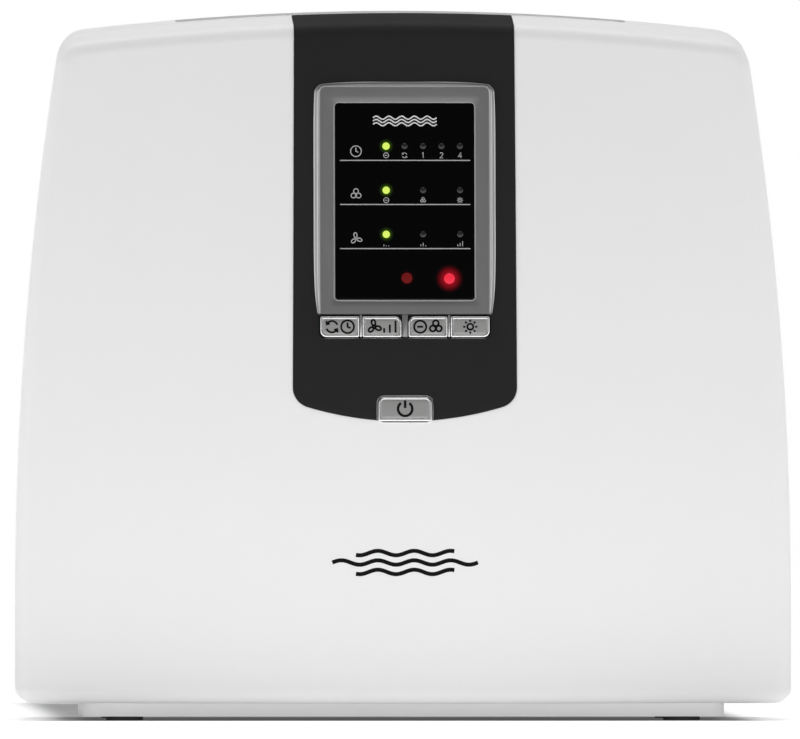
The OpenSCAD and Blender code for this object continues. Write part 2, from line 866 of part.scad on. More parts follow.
module lamp_holders() {
    color("white") for (side = [-1, 1])
        block(side * (lamp_half + 6.2), lamp_z, 12, 22, chamber_y + 3, lamp_y + lamp_r);
}

// Bright trough behind the lamp
module lamp_reflector() {
    r = lamp_r + 2.5;
    color("silver") translate([-lamp_half + 2, lamp_y + 1.6, lamp_z]) rotate([90, 0, 90])
        linear_extrude(2 * lamp_half - 4) intersection() {
            difference() {
                circle(r);
                circle(r - 0.6);
            }
            translate([-2 * r, -r]) square([2 * r, 2 * r]);
        }
}

module door_switch() {
    y = shell_back_y - wall - 3;
    color("black") {
        block(switch_x, switch_z + 4.5, 20, 12, y - 22, y);
        rod(switch_x, switch_z, switch_pin_r, y - eps, shell_back_y + 0.1);
    }
}

// ---------- electronics ----------

module power_board() {
    color("darkgreen") difference() {
        translate([power_board_at[0], 0, power_board_at[1]])
            plate(board_front_y, board_rear_y) square(power_board_size, center = true);
        for (p = standoff_at) rod(p[0], p[1], 1.8, board_front_y - 1, board_rear_y + 1);
    }
}

// Capacitors, relay, fuse and terminal blocks of the power board
module board_parts() {
    x = power_board_at[0];
    z = power_board_at[1];
    front = board_front_y;
    color("darkslategray") {
        for (dx = [16, 30]) rod(x + dx, z + 22, 6, front - 18, front);
        block(x + 22, z - 8, 18, 12, front - 14, front);
        block(x - 22, z + 34, 26, 8, front - 8, front);
        block(x, z - 50, 26, 10, front - 11, front);
        block(x + 22, z + 46, 22, 14, front - 6, front);
        for (dz = [-30, -24]) rod(x - 24, z + dz, 2, front - 6, front);
    }
}

module transformer() {
    x = power_board_at[0] - 16;
    z = power_board_at[1] + 2;
    front = board_front_y;
    color("goldenrod") {
        block(x, z, 30, 36, front - 8, front);
        block(x, z, 38, 44, front - 22, front - 8 + eps);
    }
}

module lamp_ballast() {
    color("black") block(108, 120, 70, 44, bulkhead_y - 26, bulkhead_y);
}

module ion_generator() {
    color("black") block(112, 262, 52, 30, bulkhead_y - 22, bulkhead_y);
}

// Bar with four carbon-tipped needles across the duct
module ion_needle_bar() {
    y = bulkhead_y + bulkhead_t;
    z = duct_top - 24;
    color("darkslategray") {
        block(0, z, 130, 6, y, y + 9);
        for (i = [-1.5:1.5]) translate([i * 34, y + 5, z + 3 - eps]) {
            cylinder(r = 0.9, h = 10);
            translate([0, 0, 10 - eps]) cylinder(r1 = 0.9, r2 = 0.15, h = 4);
        }
    }
}

module ozone_module() {
    color("gray") {
        block(-92, 250, 34, 24, bulkhead_y - 18, bulkhead_y);
        block(-92, 250, 44, 18, bulkhead_y - 20.5, bulkhead_y - 18 + eps);
    }
}

// Straight run of a round wire
module run(a, b, r) {
    d = b - a;
    translate(a) rotate([0, acos(d[2] / norm(d)), atan2(d[1], d[0])]) cylinder(r = r, h = norm(d), $fn = 24);
}

// Flat cable between the control board and the power board
module ribbon_cable() {
    t = 0.8;
    width = 12;
    z = power_board_at[1] + 46;
    top = z + width / 2;
    start = panel_y + (board_y + board_t) / cos(panel_tilt) + (top - panel_z) * tan(panel_tilt) + 0.2;
    fold = [[-44, start], [-44, start + 9], [-76, board_front_y - 12], [-76, board_front_y - 6]];
    color("lightgray") translate([0, 0, z - width / 2]) linear_extrude(width)
        polygon(concat(fold, [for (i = [len(fold) - 1:-1:0]) fold[i] - [t, i == 0 || i == 3 ? 0 : t]]));
}

// Two insulated leads from the mains inlet forward to the power board
module mains_wires() {
    r = 1.4;
    lay_y = board_front_y - 5.5;
    color("saddlebrown") for (side = [-1, 1]) {
        route = [
            [inlet_x + 3 * side, shell_back_y - inlet_d, inlet_z],
            [inlet_x + 3 * side, lay_y + 3 * side, inlet_z],
            [power_board_at[0] - 3 * side, lay_y + 3 * side, inlet_z],
            [power_board_at[0] - 3 * side, lay_y + 3 * side, power_board_at[1] - 55],
        ];
        for (i = [0:2]) run(route[i], route[i + 1], r);
        for (i = [1:2]) translate(route[i]) sphere(r, $fn = 24);
    }
}

module mains_inlet() {
    color("black") difference() {
        union() {
            block(inlet_x, inlet_z, inlet_w, inlet_h, shell_back_y - inlet_d, shell_back_y + 0.1);
            translate([inlet_x, 0, inlet_z]) plate(shell_back_y, shell_back_y + 1.6)
                round_rect(inlet_w + 5, inlet_h + 5, 3);
        }
        translate([inlet_x, 0, inlet_z]) plate(recess_y, back_y) {
            square([pin_pitch, 9.4], center = true);
            for (side = [-1, 1]) translate([side * pin_pitch / 2, 0]) circle(4.7);
        }
        for (side = [-1, 1])
            rod(inlet_x + side * pin_pitch / 2, inlet_z, tail_r + 0.05,
                shell_back_y - inlet_d - 1, recess_y + 1);
    }
}

module inlet_pins() {
    color("gold") for (side = [-1, 1]) {
        rod(inlet_x + side * pin_pitch / 2, inlet_z, tail_r, shell_back_y - inlet_d, recess_y + 0.1 + eps);
        rod(inlet_x + side * pin_pitch / 2, inlet_z, pin_r, recess_y + 0.1, shell_back_y - 2);
    }
}

module case_screws() {
    seat = screw_seat_y + 0.05;
    color("silver") {
        posts(part_y - 12, seat + eps, screw_r);
        posts(seat, seat + 3, screw_head_r);
    }
}

// ---------- nodes ----------

front_shell();
rear_shell();
base_plate();
rubber_feet();
outlet_grille();
rear_cover();
fascia_strip();
display_bezel();
display_window();
indicator_leds();
status_leds();
control_board();
tact_switches();
ribbon_cable();
button(0);  // mode_button
button(1);  // speed_button
button(2);  // function_button
button(3);  // uv_button
button(4);  // power_button
plunger(0);  // mode_plunger
plunger(1);  // speed_plunger
plunger(2);  // function_plunger
plunger(3);  // uv_plunger
plunger(4);  // power_plunger
fan_bulkhead();
scroll_wall();
filter_chamber();
inlet_ring();
impeller();
impeller_nut();
motor_shaft();
motor_rotor();
motor_stator();
motor_windings();
motor_housing();
motor_bearings();
motor_grommets();
motor_screws();
prefilter();
hepa_frame();
hepa_pleats();
hepa_pull_tab();
carbon_filter();
catalyst_filter();
uv_lamp();
lamp_holders();
lamp_reflector();
lamp_ballast();
door_switch();
ion_generator();
ion_needle_bar();
ozone_module();
power_board();
board_parts();
transformer();
mains_wires();
mains_inlet();
inlet_pins();
case_screws();
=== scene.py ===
"""Looks of the desktop air purifier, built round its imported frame.

Lengths are metres in the frame's own axes: +X right, +Y back, +Z up. The curves of
the casing follow the same rules as the design, so each visual piece lies exactly on
the CAD node that it replaces.
"""

from collections import namedtuple
import json
import math

import bmesh
import bpy
import numpy as np
from mathutils import Matrix, Vector


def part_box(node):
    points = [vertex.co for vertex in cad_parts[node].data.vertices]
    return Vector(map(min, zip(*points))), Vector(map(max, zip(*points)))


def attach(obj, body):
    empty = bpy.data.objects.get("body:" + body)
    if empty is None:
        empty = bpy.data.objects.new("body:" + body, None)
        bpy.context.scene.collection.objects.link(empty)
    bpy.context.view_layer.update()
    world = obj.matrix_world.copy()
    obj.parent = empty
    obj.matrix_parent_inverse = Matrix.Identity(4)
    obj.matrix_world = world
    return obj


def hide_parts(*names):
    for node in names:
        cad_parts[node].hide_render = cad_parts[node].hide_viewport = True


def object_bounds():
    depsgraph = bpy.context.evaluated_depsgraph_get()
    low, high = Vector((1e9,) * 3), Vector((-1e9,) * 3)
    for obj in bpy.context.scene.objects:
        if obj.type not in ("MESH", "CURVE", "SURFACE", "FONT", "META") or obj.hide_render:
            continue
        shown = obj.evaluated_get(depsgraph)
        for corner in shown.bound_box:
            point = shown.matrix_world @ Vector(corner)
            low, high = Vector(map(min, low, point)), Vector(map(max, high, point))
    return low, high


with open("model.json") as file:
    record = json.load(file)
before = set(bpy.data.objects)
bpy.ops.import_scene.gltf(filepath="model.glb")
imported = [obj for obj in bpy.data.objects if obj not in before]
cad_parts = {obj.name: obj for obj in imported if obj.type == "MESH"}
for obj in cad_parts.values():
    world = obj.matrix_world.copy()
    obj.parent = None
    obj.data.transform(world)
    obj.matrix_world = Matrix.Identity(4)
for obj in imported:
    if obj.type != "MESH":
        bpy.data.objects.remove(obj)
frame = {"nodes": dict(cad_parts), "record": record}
cad_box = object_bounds()
NODES = frame["nodes"]
MM = 0.001

# ---------- driving sizes, as in the design ----------

HALF_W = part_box("front_shell")[1].x
BODY_H = cad_box[1].z
FRONT_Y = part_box("front_shell")[0].y
PART_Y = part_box("rear_shell")[0].y
SHELL_BACK_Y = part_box("rear_shell")[1].y
SKIRT_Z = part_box("base_plate")[1].z
WALL = 2.6 * MM
BELLY_Z = 58 * MM
SIDE_R = 1750 * MM
TOP_R = 1330 * MM
CORNER_R = 14 * MM
LOW_R = 8 * MM
PLAN_R = 1100 * MM
LEAN_R = 2074 * MM
DOME_R = 833 * MM
CROWN_Y = 30 * MM
RIM_Y = -75 * MM
EDGE_R = 7 * MM
BACK_R = 18 * MM
MID_Z = (SKIRT_Z + BODY_H) / 2
GROOVE = 0.7 * MM
SIDE_DRAFT = 0.03

STRIP_W = 54.6 * MM
STRIP_TAPER = 1.1 * MM
STRIP_Z = 146 * MM
STRIP_R = 166 * MM
STRIP_CORNER = 10 * MM
STRIP_PROUD = 0.5 * MM
STRIP_T = 1.2 * MM
SEAT_GAP = 0.15 * MM

PANEL_TILT = math.radians(5.4)
PANEL_Z = 250 * MM


# ---------- curves of the casing ----------

def drop(y):
    """How far the top lies under its crown at depth y."""
    return (y - CROWN_Y) ** 2 / (2 * DOME_R)


def narrow(y):
    """How far the sides draw in behind the joint of the shells."""
    return SIDE_DRAFT * max(0.0, y - PART_Y)


def face_y(x, z):
    """Depth of the front face at x, z."""
    lean = np.maximum(0.0, z - BELLY_Z)
    return FRONT_Y + x * x / (2 * PLAN_R) + lean * lean / (2 * LEAN_R)


def arc(centre, radius, start, end, steps):
    """Points of an arc between two angles in radians."""
    angles = np.linspace(start, end, steps + 1)
    return np.array(centre) + radius * np.stack([np.cos(angles), np.sin(angles)], 1)


def crossing(centre, radius, other, other_radius):
    """Crossing of two circles that lies above and to the right of the line between their centres."""
    centre = np.array(centre)
    apart = np.array(other) - centre
    distance = np.linalg.norm(apart)
    along = apart / distance
    reach = (radius ** 2 - other_radius ** 2 + distance ** 2) / (2 * distance)
    return centre + reach * along + math.sqrt(radius ** 2 - reach ** 2) * np.array([-along[1], along[0]])


def outline(inset, y):
    """The casing's outline at depth y in x, z, anticlockwise seen from the front."""
    x_low = HALF_W - narrow(y) - inset
    r_low = max(LOW_R - inset, 0.5 * MM)
    r_top = max(CORNER_R - inset, 2 * MM)
    side = (HALF_W - narrow(y) - SIDE_R, BELLY_Z)
    top = (0.0, BODY_H - drop(y) - TOP_R)
    corner = crossing(side, SIDE_R - inset - r_top, top, TOP_R - inset - r_top)
    a_side = math.atan2(corner[1] - side[1], corner[0] - side[0])
    a_top = math.atan2(corner[1] - top[1], corner[0] - top[0])
    low_z = SKIRT_Z + inset
    across = 40
    up = 9
    bottom = np.stack([np.linspace(0, x_low - r_low, across + 1)[:-1], np.full(across, low_z)], 1)
    right = np.concatenate([
        bottom,
        arc((x_low - r_low, low_z + r_low), r_low, -math.pi / 2, 0, 8),
        np.stack([np.full(up, x_low), np.linspace(low_z + r_low, BELLY_Z, up + 1)[1:]], 1),
        arc(side, SIDE_R - inset, 0, a_side, 60)[1:],
        arc(corner, r_top, a_side, a_top, 14)[1:],
        arc(top, TOP_R - inset, a_top, math.pi / 2, 50)[1:],
    ])
    left = right[-2:0:-1] * [-1, 1]
    return np.concatenate([right, left])


def outline_top(x, inset, y):
    """Height of the top at x, for an inset outline at depth y."""
    radius = TOP_R - inset
    return BODY_H - drop(y) - TOP_R + math.sqrt(radius ** 2 - x * x)


# ---------- mesh building ----------

def smooth_by_angle(mesh, degrees=35):
    """Shades a mesh smooth, with edges sharper than the angle kept crisp."""
    mesh.polygons.foreach_set("use_smooth", [True] * len(mesh.polygons))
    mesh.set_sharp_from_angle(angle=math.radians(degrees))


def new_object(name, points, faces):
    """A mesh object with its faces turned outwards."""
    mesh = bpy.data.meshes.new(name)
    mesh.from_pydata([tuple(p) for p in points], [], faces)
    bm = bmesh.new()
    bm.from_mesh(mesh)
    bmesh.ops.remove_doubles(bm, verts=bm.verts, dist=1e-7)
    bmesh.ops.recalc_face_normals(bm, faces=bm.faces)
    bm.to_mesh(mesh)
    bm.free()
    obj = bpy.data.objects.new(name, mesh)
    bpy.context.scene.collection.objects.link(obj)
    return obj


def loft(name, rings, closed=False):
    """A solid through rings of equal length. Closed joins the last ring to the first;
    otherwise both ends are capped."""
    n = len(rings[0])
    points = np.concatenate(rings)
    faces = []
    spans = len(rings) if closed else len(rings) - 1
    for k in range(spans):
        a = k * n
        b = (k + 1) % len(rings) * n
        faces += [(a + i, a + (i + 1) % n, b + (i + 1) % n, b + i) for i in range(n)]
    if not closed:
        faces.append(tuple(range(n)))
        last = (len(rings) - 1) * n
        faces.append(tuple(last + i for i in range(n)))
    return new_object(name, points, faces)


def apply_modifiers(obj):
    """Bakes an object's modifiers into its mesh."""
    graph = bpy.context.evaluated_depsgraph_get()
    mesh = bpy.data.meshes.new_from_object(obj.evaluated_get(graph))
    obj.modifiers.clear()
    obj.data = mesh
    return obj


def cut(obj, cutters):
    """Takes the cutters out of an object and removes them."""
    for cutter in cutters:
        mod = obj.modifiers.new("cut", "BOOLEAN")
        mod.operation = "DIFFERENCE"
        mod.solver = "EXACT"
        mod.object = cutter
        apply_modifiers(obj)
        bpy.data.objects.remove(cutter)


def bevel(obj, width, segments=3, angle=40):
    """Rounds the sharp edges of an object by width."""
    mod = obj.modifiers.new("round", "BEVEL")
    mod.width = width
    mod.segments = segments
    mod.limit_method = "ANGLE"
    mod.angle_limit = math.radians(angle)


def finish_piece(obj, material, body="casing", stands_for=(), sharp=35):
    """Gives a piece its material, its body and the CAD nodes it stands for."""
    obj.data.materials.clear()
    obj.data.materials.append(material)
    smooth_by_angle(obj.data, sharp)
    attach(obj, body)
    if stands_for:
        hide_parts(*stands_for)
    return obj


def at_depth(shape, y):
    """A flat shape in x, z placed at one depth, or at one for each point."""
    return np.stack([shape[:, 0], np.full(len(shape), y), shape[:, 1]], 1)


def prism(name, shape, y0, y1):
    """A flat shape in x, z drawn out between two depths."""
    return loft(name, [at_depth(np.asarray(shape), y) for y in (y0, y1)])


def box_between(name, low, high):
    """A plain block, used only to cut with."""
    (x0, y0, z0), (x1, y1, z1) = low, high
    return prism(name, [(x0, z0), (x1, z0), (x1, z1), (x0, z1)], y0, y1)


def round_shape(x, z, radius, steps):
    """Outline of a circle in x, z."""
    turn = np.linspace(0, 2 * math.pi, steps, endpoint=False)
    return np.stack([x + radius * np.cos(turn), z + radius * np.sin(turn)], 1)


def rod(name, x, z, radius, y0, y1):
    """A round bar along Y."""
    return prism(name, round_shape(x, z, radius, 32), y0, y1)


# ---------- frame of the display and keys ----------

# Height at which the panel's plane meets the face
PANEL_MEETS_Z = 200 * MM
PANEL_Y = float(face_y(0.0, PANEL_MEETS_Z)) + (PANEL_Z - PANEL_MEETS_Z) * math.tan(PANEL_TILT)
TO_PANEL = Matrix.Translation((0, PANEL_Y, PANEL_Z)) @ Matrix.Rotation(-PANEL_TILT, 4, "X")


def on_panel(obj):
    """Moves a piece drawn in the panel's own axes to its place on the face."""
    obj.data.transform(TO_PANEL)
    return obj


def panel_cutter(shape):
    """A cutter that reaches through the panel to both sides."""
    reach = 12 * MM
    return on_panel(prism("cutter", shape, -reach, reach))


# ---------- materials ----------

GRAIN_DEPTH = 0.02 * MM


def add_node(tree, kind, **inputs):
    """A shader node with some of its inputs set."""
    node = tree.nodes.new(kind)
    for key, value in inputs.items():
        node.inputs[key.replace("_", " ")].default_value = value
    return node


def noise(tree, coords, scale, detail=4.0, rough=0.55):
    """A noise texture read in the piece's own coordinates."""
    node = add_node(tree, "ShaderNodeTexNoise", Scale=scale, Detail=detail, Roughness=rough)
    tree.links.new(coords, node.inputs["Vector"])
    return node.outputs["Fac"]


def span(tree, value, low, high, start=0.0, end=1.0):
    """Maps a value from start..end to low..high."""
    node = add_node(tree, "ShaderNodeMapRange", From_Min=start, From_Max=end, To_Min=low, To_Max=high)
    tree.links.new(value, node.inputs["Value"])
    return node.outputs["Result"]


def combine(tree, operation, a, b=0.0):
    """Math of two values, each a plain number or the output of another node."""
    node = tree.nodes.new("ShaderNodeMath")
    node.operation = operation
    for socket, value in zip(node.inputs, (a, b)):
        if isinstance(value, (int, float)):
            socket.default_value = value
        else:
            tree.links.new(value, socket)
    return node.outputs["Value"]


def coordinates(tree, kind="Object"):
    """The piece's own coordinates, or the sky's directions, with their x, y and z on their own."""
    place = tree.nodes.new("ShaderNodeTexCoord").outputs[kind]
    parts = tree.nodes.new("ShaderNodeSeparateXYZ")
    tree.links.new(place, parts.inputs["Vector"])
    return place, parts.outputs["X"], parts.outputs["Y"], parts.outputs["Z"]


def mix_colour(tree, factor, a, b):
    """Mixes two colours by a factor. The first may be the output of another node."""
    node = tree.nodes.new("ShaderNodeMix")
    node.data_type = "RGBA"
    if isinstance(a, tuple):
        node.inputs["A"].default_value = (*a, 1)
    else:
        tree.links.new(a, node.inputs["A"])
    node.inputs["B"].default_value = (*b, 1)
    tree.links.new(factor, node.inputs["Factor"])
    return node.outputs["Result"]


def shade(colour, amount):
    """A colour made lighter or darker."""
    return tuple(min(1.0, c * (1 + amount)) for c in colour)


def surface(name, colour, roughness, grain=2500.0, bump=0.05, vary=0.03, rough_vary=0.06, metallic=0.0,
            specular=0.5, edge_highlight=None, **settings):
    """A moulded, painted or metal surface: slight colour drift, uneven gloss, fine grain,
    and, when given a highlight colour, a painted highlight of that colour along sharp edges."""
    material = bpy.data.materials.new(name)
    material.use_nodes = True
    tree = material.node_tree
    shader = tree.nodes["Principled BSDF"]
    shader.inputs["Metallic"].default_value = metallic
    shader.inputs["Specular IOR Level"].default_value = specular
    for key, value in settings.items():
        shader.inputs[key.replace("_", " ")].default_value = value
    coords = tree.nodes.new("ShaderNodeTexCoord").outputs["Object"]
    drift = noise(tree, coords, scale=14.0, detail=3.0)
    base = mix_colour(tree, drift, shade(colour, -vary), shade(colour, vary))
    # Painted highlight: sharp convex edges take the lighter highlight colour.
    if edge_highlight:
        edge = tree.nodes.new("ShaderNodeNewGeometry").outputs["Pointiness"]
        highlit_edges = span(tree, edge, 0, 1, 0.53, 0.62)
        base = mix_colour(tree, highlit_edges, base, edge_highlight)
    tree.links.new(base, shader.inputs["Base Color"])
    smear = noise(tree, coords, scale=45.0, detail=5.0, rough=0.65)
    gloss = span(tree, smear, max(0.0, roughness - rough_vary), min(1.0, roughness + rough_vary))
    tree.links.new(gloss, shader.inputs["Roughness"])
    fine = noise(tree, coords, scale=grain, detail=2.0)
    relief = add_node(tree, "ShaderNodeBump", Strength=bump, Distance=GRAIN_DEPTH)
    tree.links.new(fine, relief.inputs["Height"])
    tree.links.new(relief.outputs["Normal"], shader.inputs["Normal"])
    return material


def glow(material, colour, strength):
    """Makes a material shine."""
    shader = material.node_tree.nodes["Principled BSDF"]
    shader.inputs["Emission Color"].default_value = (*colour, 1)
    shader.inputs["Emission Strength"].default_value = strength


def paint_rim_highlight(material, colour, start, end):
    """Painted highlight: fades a material to another colour towards the sides, between two distances from
    the middle.
    """
    tree = material.node_tree
    shader = tree.nodes["Principled BSDF"]
    _, x, _, _ = coordinates(tree)
    fade = span(tree, combine(tree, "ABSOLUTE", x), 0, 1, start, end)
    base = shader.inputs["Base Color"].links[0].from_socket
    tree.links.new(mix_colour(tree, fade, base, colour), shader.inputs["Base Color"])


def window_surface(spots):
    """Smoked window: black and glossy, with a faint halo round each lit lamp behind it.
    Each spot is its centre, its colour, its strength and its reach."""
    material = surface("window_glass", (0.0012, 0.0012, 0.0013), 0.07, bump=0.01, rough_vary=0.02,
                       specular=0.14)
    tree = material.node_tree
    shader = tree.nodes["Principled BSDF"]
    place = tree.nodes.new("ShaderNodeTexCoord").outputs["Object"]
    total = None
    for centre, colour, strength, reach in spots:
        away = tree.nodes.new("ShaderNodeVectorMath")
        away.operation = "DISTANCE"
        away.inputs[1].default_value = centre
        tree.links.new(place, away.inputs[0])
        fade = span(tree, away.outputs["Value"], strength, 0, 0, reach)
        fade.node.interpolation_type = "SMOOTHERSTEP"
        tint = tree.nodes.new("ShaderNodeVectorMath")
        tint.operation = "SCALE"
        tint.inputs[0].default_value = colour
        tree.links.new(fade, tint.inputs["Scale"])
        if total is None:
            total = tint.outputs["Vector"]
            continue
        join = tree.nodes.new("ShaderNodeVectorMath")
        join.operation = "ADD"
        tree.links.new(total, join.inputs[0])
        tree.links.new(tint.outputs["Vector"], join.inputs[1])
        total = join.outputs["Vector"]
    tree.links.new(total, shader.inputs["Emission Color"])
    shader.inputs["Emission Strength"].default_value = 1.0
    return material


def stripes(tree, place, degrees, pitch):
    """Even waves from -1 to 1 along a direction in x, z."""
    turn = math.radians(degrees)
    along = tree.nodes.new("ShaderNodeVectorMath")
    along.operation = "DOT_PRODUCT"
    along.inputs[1].default_value = Vector((math.cos(turn), 0, math.sin(turn))) * (2 * math.pi / pitch)
    tree.links.new(place, along.inputs[0])
    return combine(tree, "COSINE", along.outputs["Value"])


def honeycomb(tree, place, pitch):
    """Staggered round cells: 1 inside them and 0 on the walls between."""
    waves = [stripes(tree, place, degrees, pitch * math.sqrt(3) / 2) for degrees in (0, 60, 120)]
    total = combine(tree, "ADD", combine(tree, "ADD", waves[0], waves[1]), waves[2])
    return span(tree, total, 0, 1, -1.1, -0.3)


def net(tree, place, pitch):
    """Square net: 1 in its holes and 0 on the threads."""
    threads = combine(tree, "MAXIMUM", stripes(tree, place, 0, pitch), stripes(tree, place, 90, pitch))
    return span(tree, threads, 1, 0, 0.0, 0.5)


def pattern_surface(name, node, colour, cell_shade, pattern, pitch):
    """A filter's surface: its rim is plain, and its core has a pattern whose cells sink in and are painted a
    darker colour, a painted shade in them.
    """
    margins = (5 * MM, 0.5 * MM, 5 * MM)
    low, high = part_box(node)
    material = surface(name, colour, 0.75, grain=1200, bump=0.4, vary=0.15)
    tree = material.node_tree
    shader = tree.nodes["Principled BSDF"]
    place, *parts = coordinates(tree)
    cells = pattern(tree, place, pitch)
    for part, start, end, margin in zip(parts, low, high, margins):
        off_middle = combine(tree, "ABSOLUTE", combine(tree, "SUBTRACT", part, (start + end) / 2))
        core = combine(tree, "LESS_THAN", off_middle, (end - start) / 2 - margin)
        cells = combine(tree, "MULTIPLY", cells, core)
    base = shader.inputs["Base Color"].links[0].from_socket
    # Painted shade: the cells and holes of the pattern turn the darker colour.
    tree.links.new(mix_colour(tree, cells, base, cell_shade), shader.inputs["Base Color"])
    relief = add_node(tree, "ShaderNodeBump", Strength=0.6, Distance=0.5 * MM)
    relief.invert = True
    tree.links.new(cells, relief.inputs["Height"])
    tree.links.new(shader.inputs["Normal"].links[0].from_socket, relief.inputs["Normal"])
    tree.links.new(relief.outputs["Normal"], shader.inputs["Normal"])
    return material


WHITE = surface("white_shell", (0.80, 0.80, 0.80), 0.58, grain=1800, bump=0.06, vary=0.006, rough_vary=0.05,
                specular=0.35)
# Whiter than the shell: painted light that lifts the plinth out of the shade under the shell's overhang.
PLINTH_WHITE_BRIGHTENED = surface("plinth_white_brightened", (0.91, 0.91, 0.91), 0.5, grain=1500, bump=0.15, vary=0.02)
STRIP = surface("strip_black", (0.019, 0.0187, 0.0185), 0.6, grain=2200, bump=0.05, vary=0.05,
                specular=0.04)
# The bezel gets a painted highlight of mid grey along its sharp edges.
BEZEL = surface("bezel_grey", (0.25, 0.245, 0.245), 0.37, grain=3500, bump=0.06, vary=0.05, metallic=0.75,
                edge_highlight=(0.5, 0.5, 0.5))
# Painted highlight: the bezel's outer side rims fade to a lighter grey.
paint_rim_highlight(BEZEL, (0.47, 0.47, 0.47), 40.6 * MM, 42.2 * MM)
KEY = surface("key_grey", (0.385, 0.38, 0.378), 0.38, grain=3500, bump=0.05, vary=0.03, metallic=0.6)
BRIGHT = surface("bright_edge", (0.74, 0.74, 0.74), 0.27, grain=3000, bump=0.03, metallic=1.0)
EDGE = surface("window_edge", (0.36, 0.36, 0.36), 0.38, grain=3000, bump=0.03, metallic=1.0)
PRINT_LIGHT = surface("print_light", (0.62, 0.62, 0.62), 0.5, bump=0.05)
PRINT_DIM = surface("print_dim", (0.36, 0.36, 0.36), 0.5, bump=0.05)
PRINT_DARK = surface("print_dark", (0.003, 0.003, 0.003), 0.6, bump=0.05, specular=0.1)


# ---------- shells ----------

def face_ring(inset, s, sink):
    """Ring on the face: the outline inset, shrunk by s, set back by sink."""
    ring = outline(inset, RIM_Y)
    x = s * ring[:, 0]
    z = MID_Z + s * (ring[:, 1] - MID_Z)
    return np.stack([x, face_y(x, z) + sink, z], 1)


def fillet_ring(angle, sink):
    """Ring of the fillet round the face."""
    radius = EDGE_R - sink
    ring = outline(sink + radius * (1 - math.sin(angle)), RIM_Y)
    y = face_y(ring[:, 0], ring[:, 1]) + sink + radius * (1 - math.cos(angle))
    return at_depth(ring, y)


def wall_ring(t, sink):
    """Ring of the front shell's side wall, t = 0 at the fillet and 1 at the joint."""
    ring = outline(sink, RIM_Y + t * (PART_Y - RIM_Y))
    y = face_y(ring[:, 0], ring[:, 1]) + EDGE_R
    return at_depth(ring, y + t * (PART_Y - y))


def front_rings(sink, face_steps, fillet_steps, wall_steps):
    """Rings of the front skin, from the middle of the face to the joint."""
    shares = np.append(np.linspace(0.02, 0.99, face_steps), [0.998, 1])
    rings = [face_ring(EDGE_R, s, sink) for s in shares]
    rings += [fillet_ring(a, sink) for a in np.linspace(0, math.pi / 2, fillet_steps + 1)[1:]]
    rings += [wall_ring(t, sink) for t in np.linspace(0, 1, wall_steps + 1)[1:]]
    return rings


def rear_ring(inset, y):
    """Ring of the rear shell at depth y."""
    return at_depth(outline(inset, y), y)


def back_fillet(sink, steps):
    """Rings of the fillet round the back, from the flat back to the sides."""
    radius = BACK_R - sink
    return [rear_ring(sink + radius * (1 - math.sin(a)), SHELL_BACK_Y - sink - radius * (1 - math.cos(a)))
            for a in np.linspace(0, math.pi / 2, steps + 1)]


def strip_half_width(z):
    """Half width of the control strip at height z."""
    top = BODY_H + 20 * MM
    return STRIP_W - STRIP_TAPER * (z - STRIP_Z) / (top - STRIP_Z)


def strip_solid(name, sink_out, sink_in, grow):
    """The control strip's layer of the skin between two depths, grown sideways."""
    arc_z = STRIP_Z + STRIP_R
    steps = 33
    across = np.sin(np.linspace(-math.pi / 2, math.pi / 2, 2 * steps + 1))
    half_low = STRIP_W + grow
    # The sides lean in by this share on their way up
    lean_in = 0.985
    radius = STRIP_CORNER + grow
    # Centre of the round corner, tangent to the side and to the lower arc
    cx = half_low - radius
    cz = arc_z - math.sqrt((STRIP_R + grow - radius) ** 2 - cx * cx)
    touch = cx * (STRIP_R + grow) / (STRIP_R + grow - radius)

    def low_edge(x):
        """Height of the strip's lower edge at x."""
        x = abs(x)
        if x <= touch:
            return arc_z - math.sqrt((STRIP_R + grow) ** 2 - x * x)
        return cz - math.sqrt(max(0.0, radius ** 2 - (x - cx) ** 2))

    def rows(sink):
        """Columns of points from the lower edge, over the fillet, to the joint."""
        table = []
        for u in across:
            x_low = u * half_low
            z_low = low_edge(x_low)
            column = []
            z_top = outline_top(x_low * lean_in, EDGE_R, RIM_Y)
            for t in np.linspace(0, 1, 40):
                z = z_low + t * (z_top - z_low)
                x = u * (strip_half_width(z) + grow)
                column.append((x, face_y(x, z) + sink, z))
            x = u * (strip_half_width(z_top) + grow)
            fillet = EDGE_R - sink
            for a in np.linspace(0, math.pi / 2, 9)[1:]:
                z = outline_top(x, sink + fillet * (1 - math.sin(a)), RIM_Y)
                column.append((x, face_y(x, z) + sink + fillet * (1 - math.cos(a)), z))
            y_start = column[-1][1]
            for t in np.linspace(0, 1, 9)[1:]:
                y = y_start + t * (PART_Y - y_start)
                column.append((x, y, outline_top(x, sink, RIM_Y + t * (PART_Y - RIM_Y))))
            table.append(column)
        return np.array(table)

    outer = rows(sink_out)
    inner = rows(sink_in)
    columns, count = outer.shape[:2]
    points = np.concatenate([outer.reshape(-1, 3), inner.reshape(-1, 3)])
    shift = columns * count

    def at(i, j, layer=0):
        """Number of a point, by column, row and layer."""
        return layer * shift + i * count + j

    faces = []
    for i in range(columns - 1):
        for j in range(count - 1):
            faces.append((at(i, j), at(i + 1, j), at(i + 1, j + 1), at(i, j + 1)))
            faces.append((at(i, j, 1), at(i, j + 1, 1), at(i + 1, j + 1, 1), at(i + 1, j, 1)))
        for j in (0, count - 1):
            faces.append((at(i, j), at(i, j, 1), at(i + 1, j, 1), at(i + 1, j)))
    for j in range(count - 1):
        for i in (0, columns - 1):
            faces.append((at(i, j), at(i, j + 1), at(i, j + 1, 1), at(i, j, 1)))
    return new_object(name, points, faces)


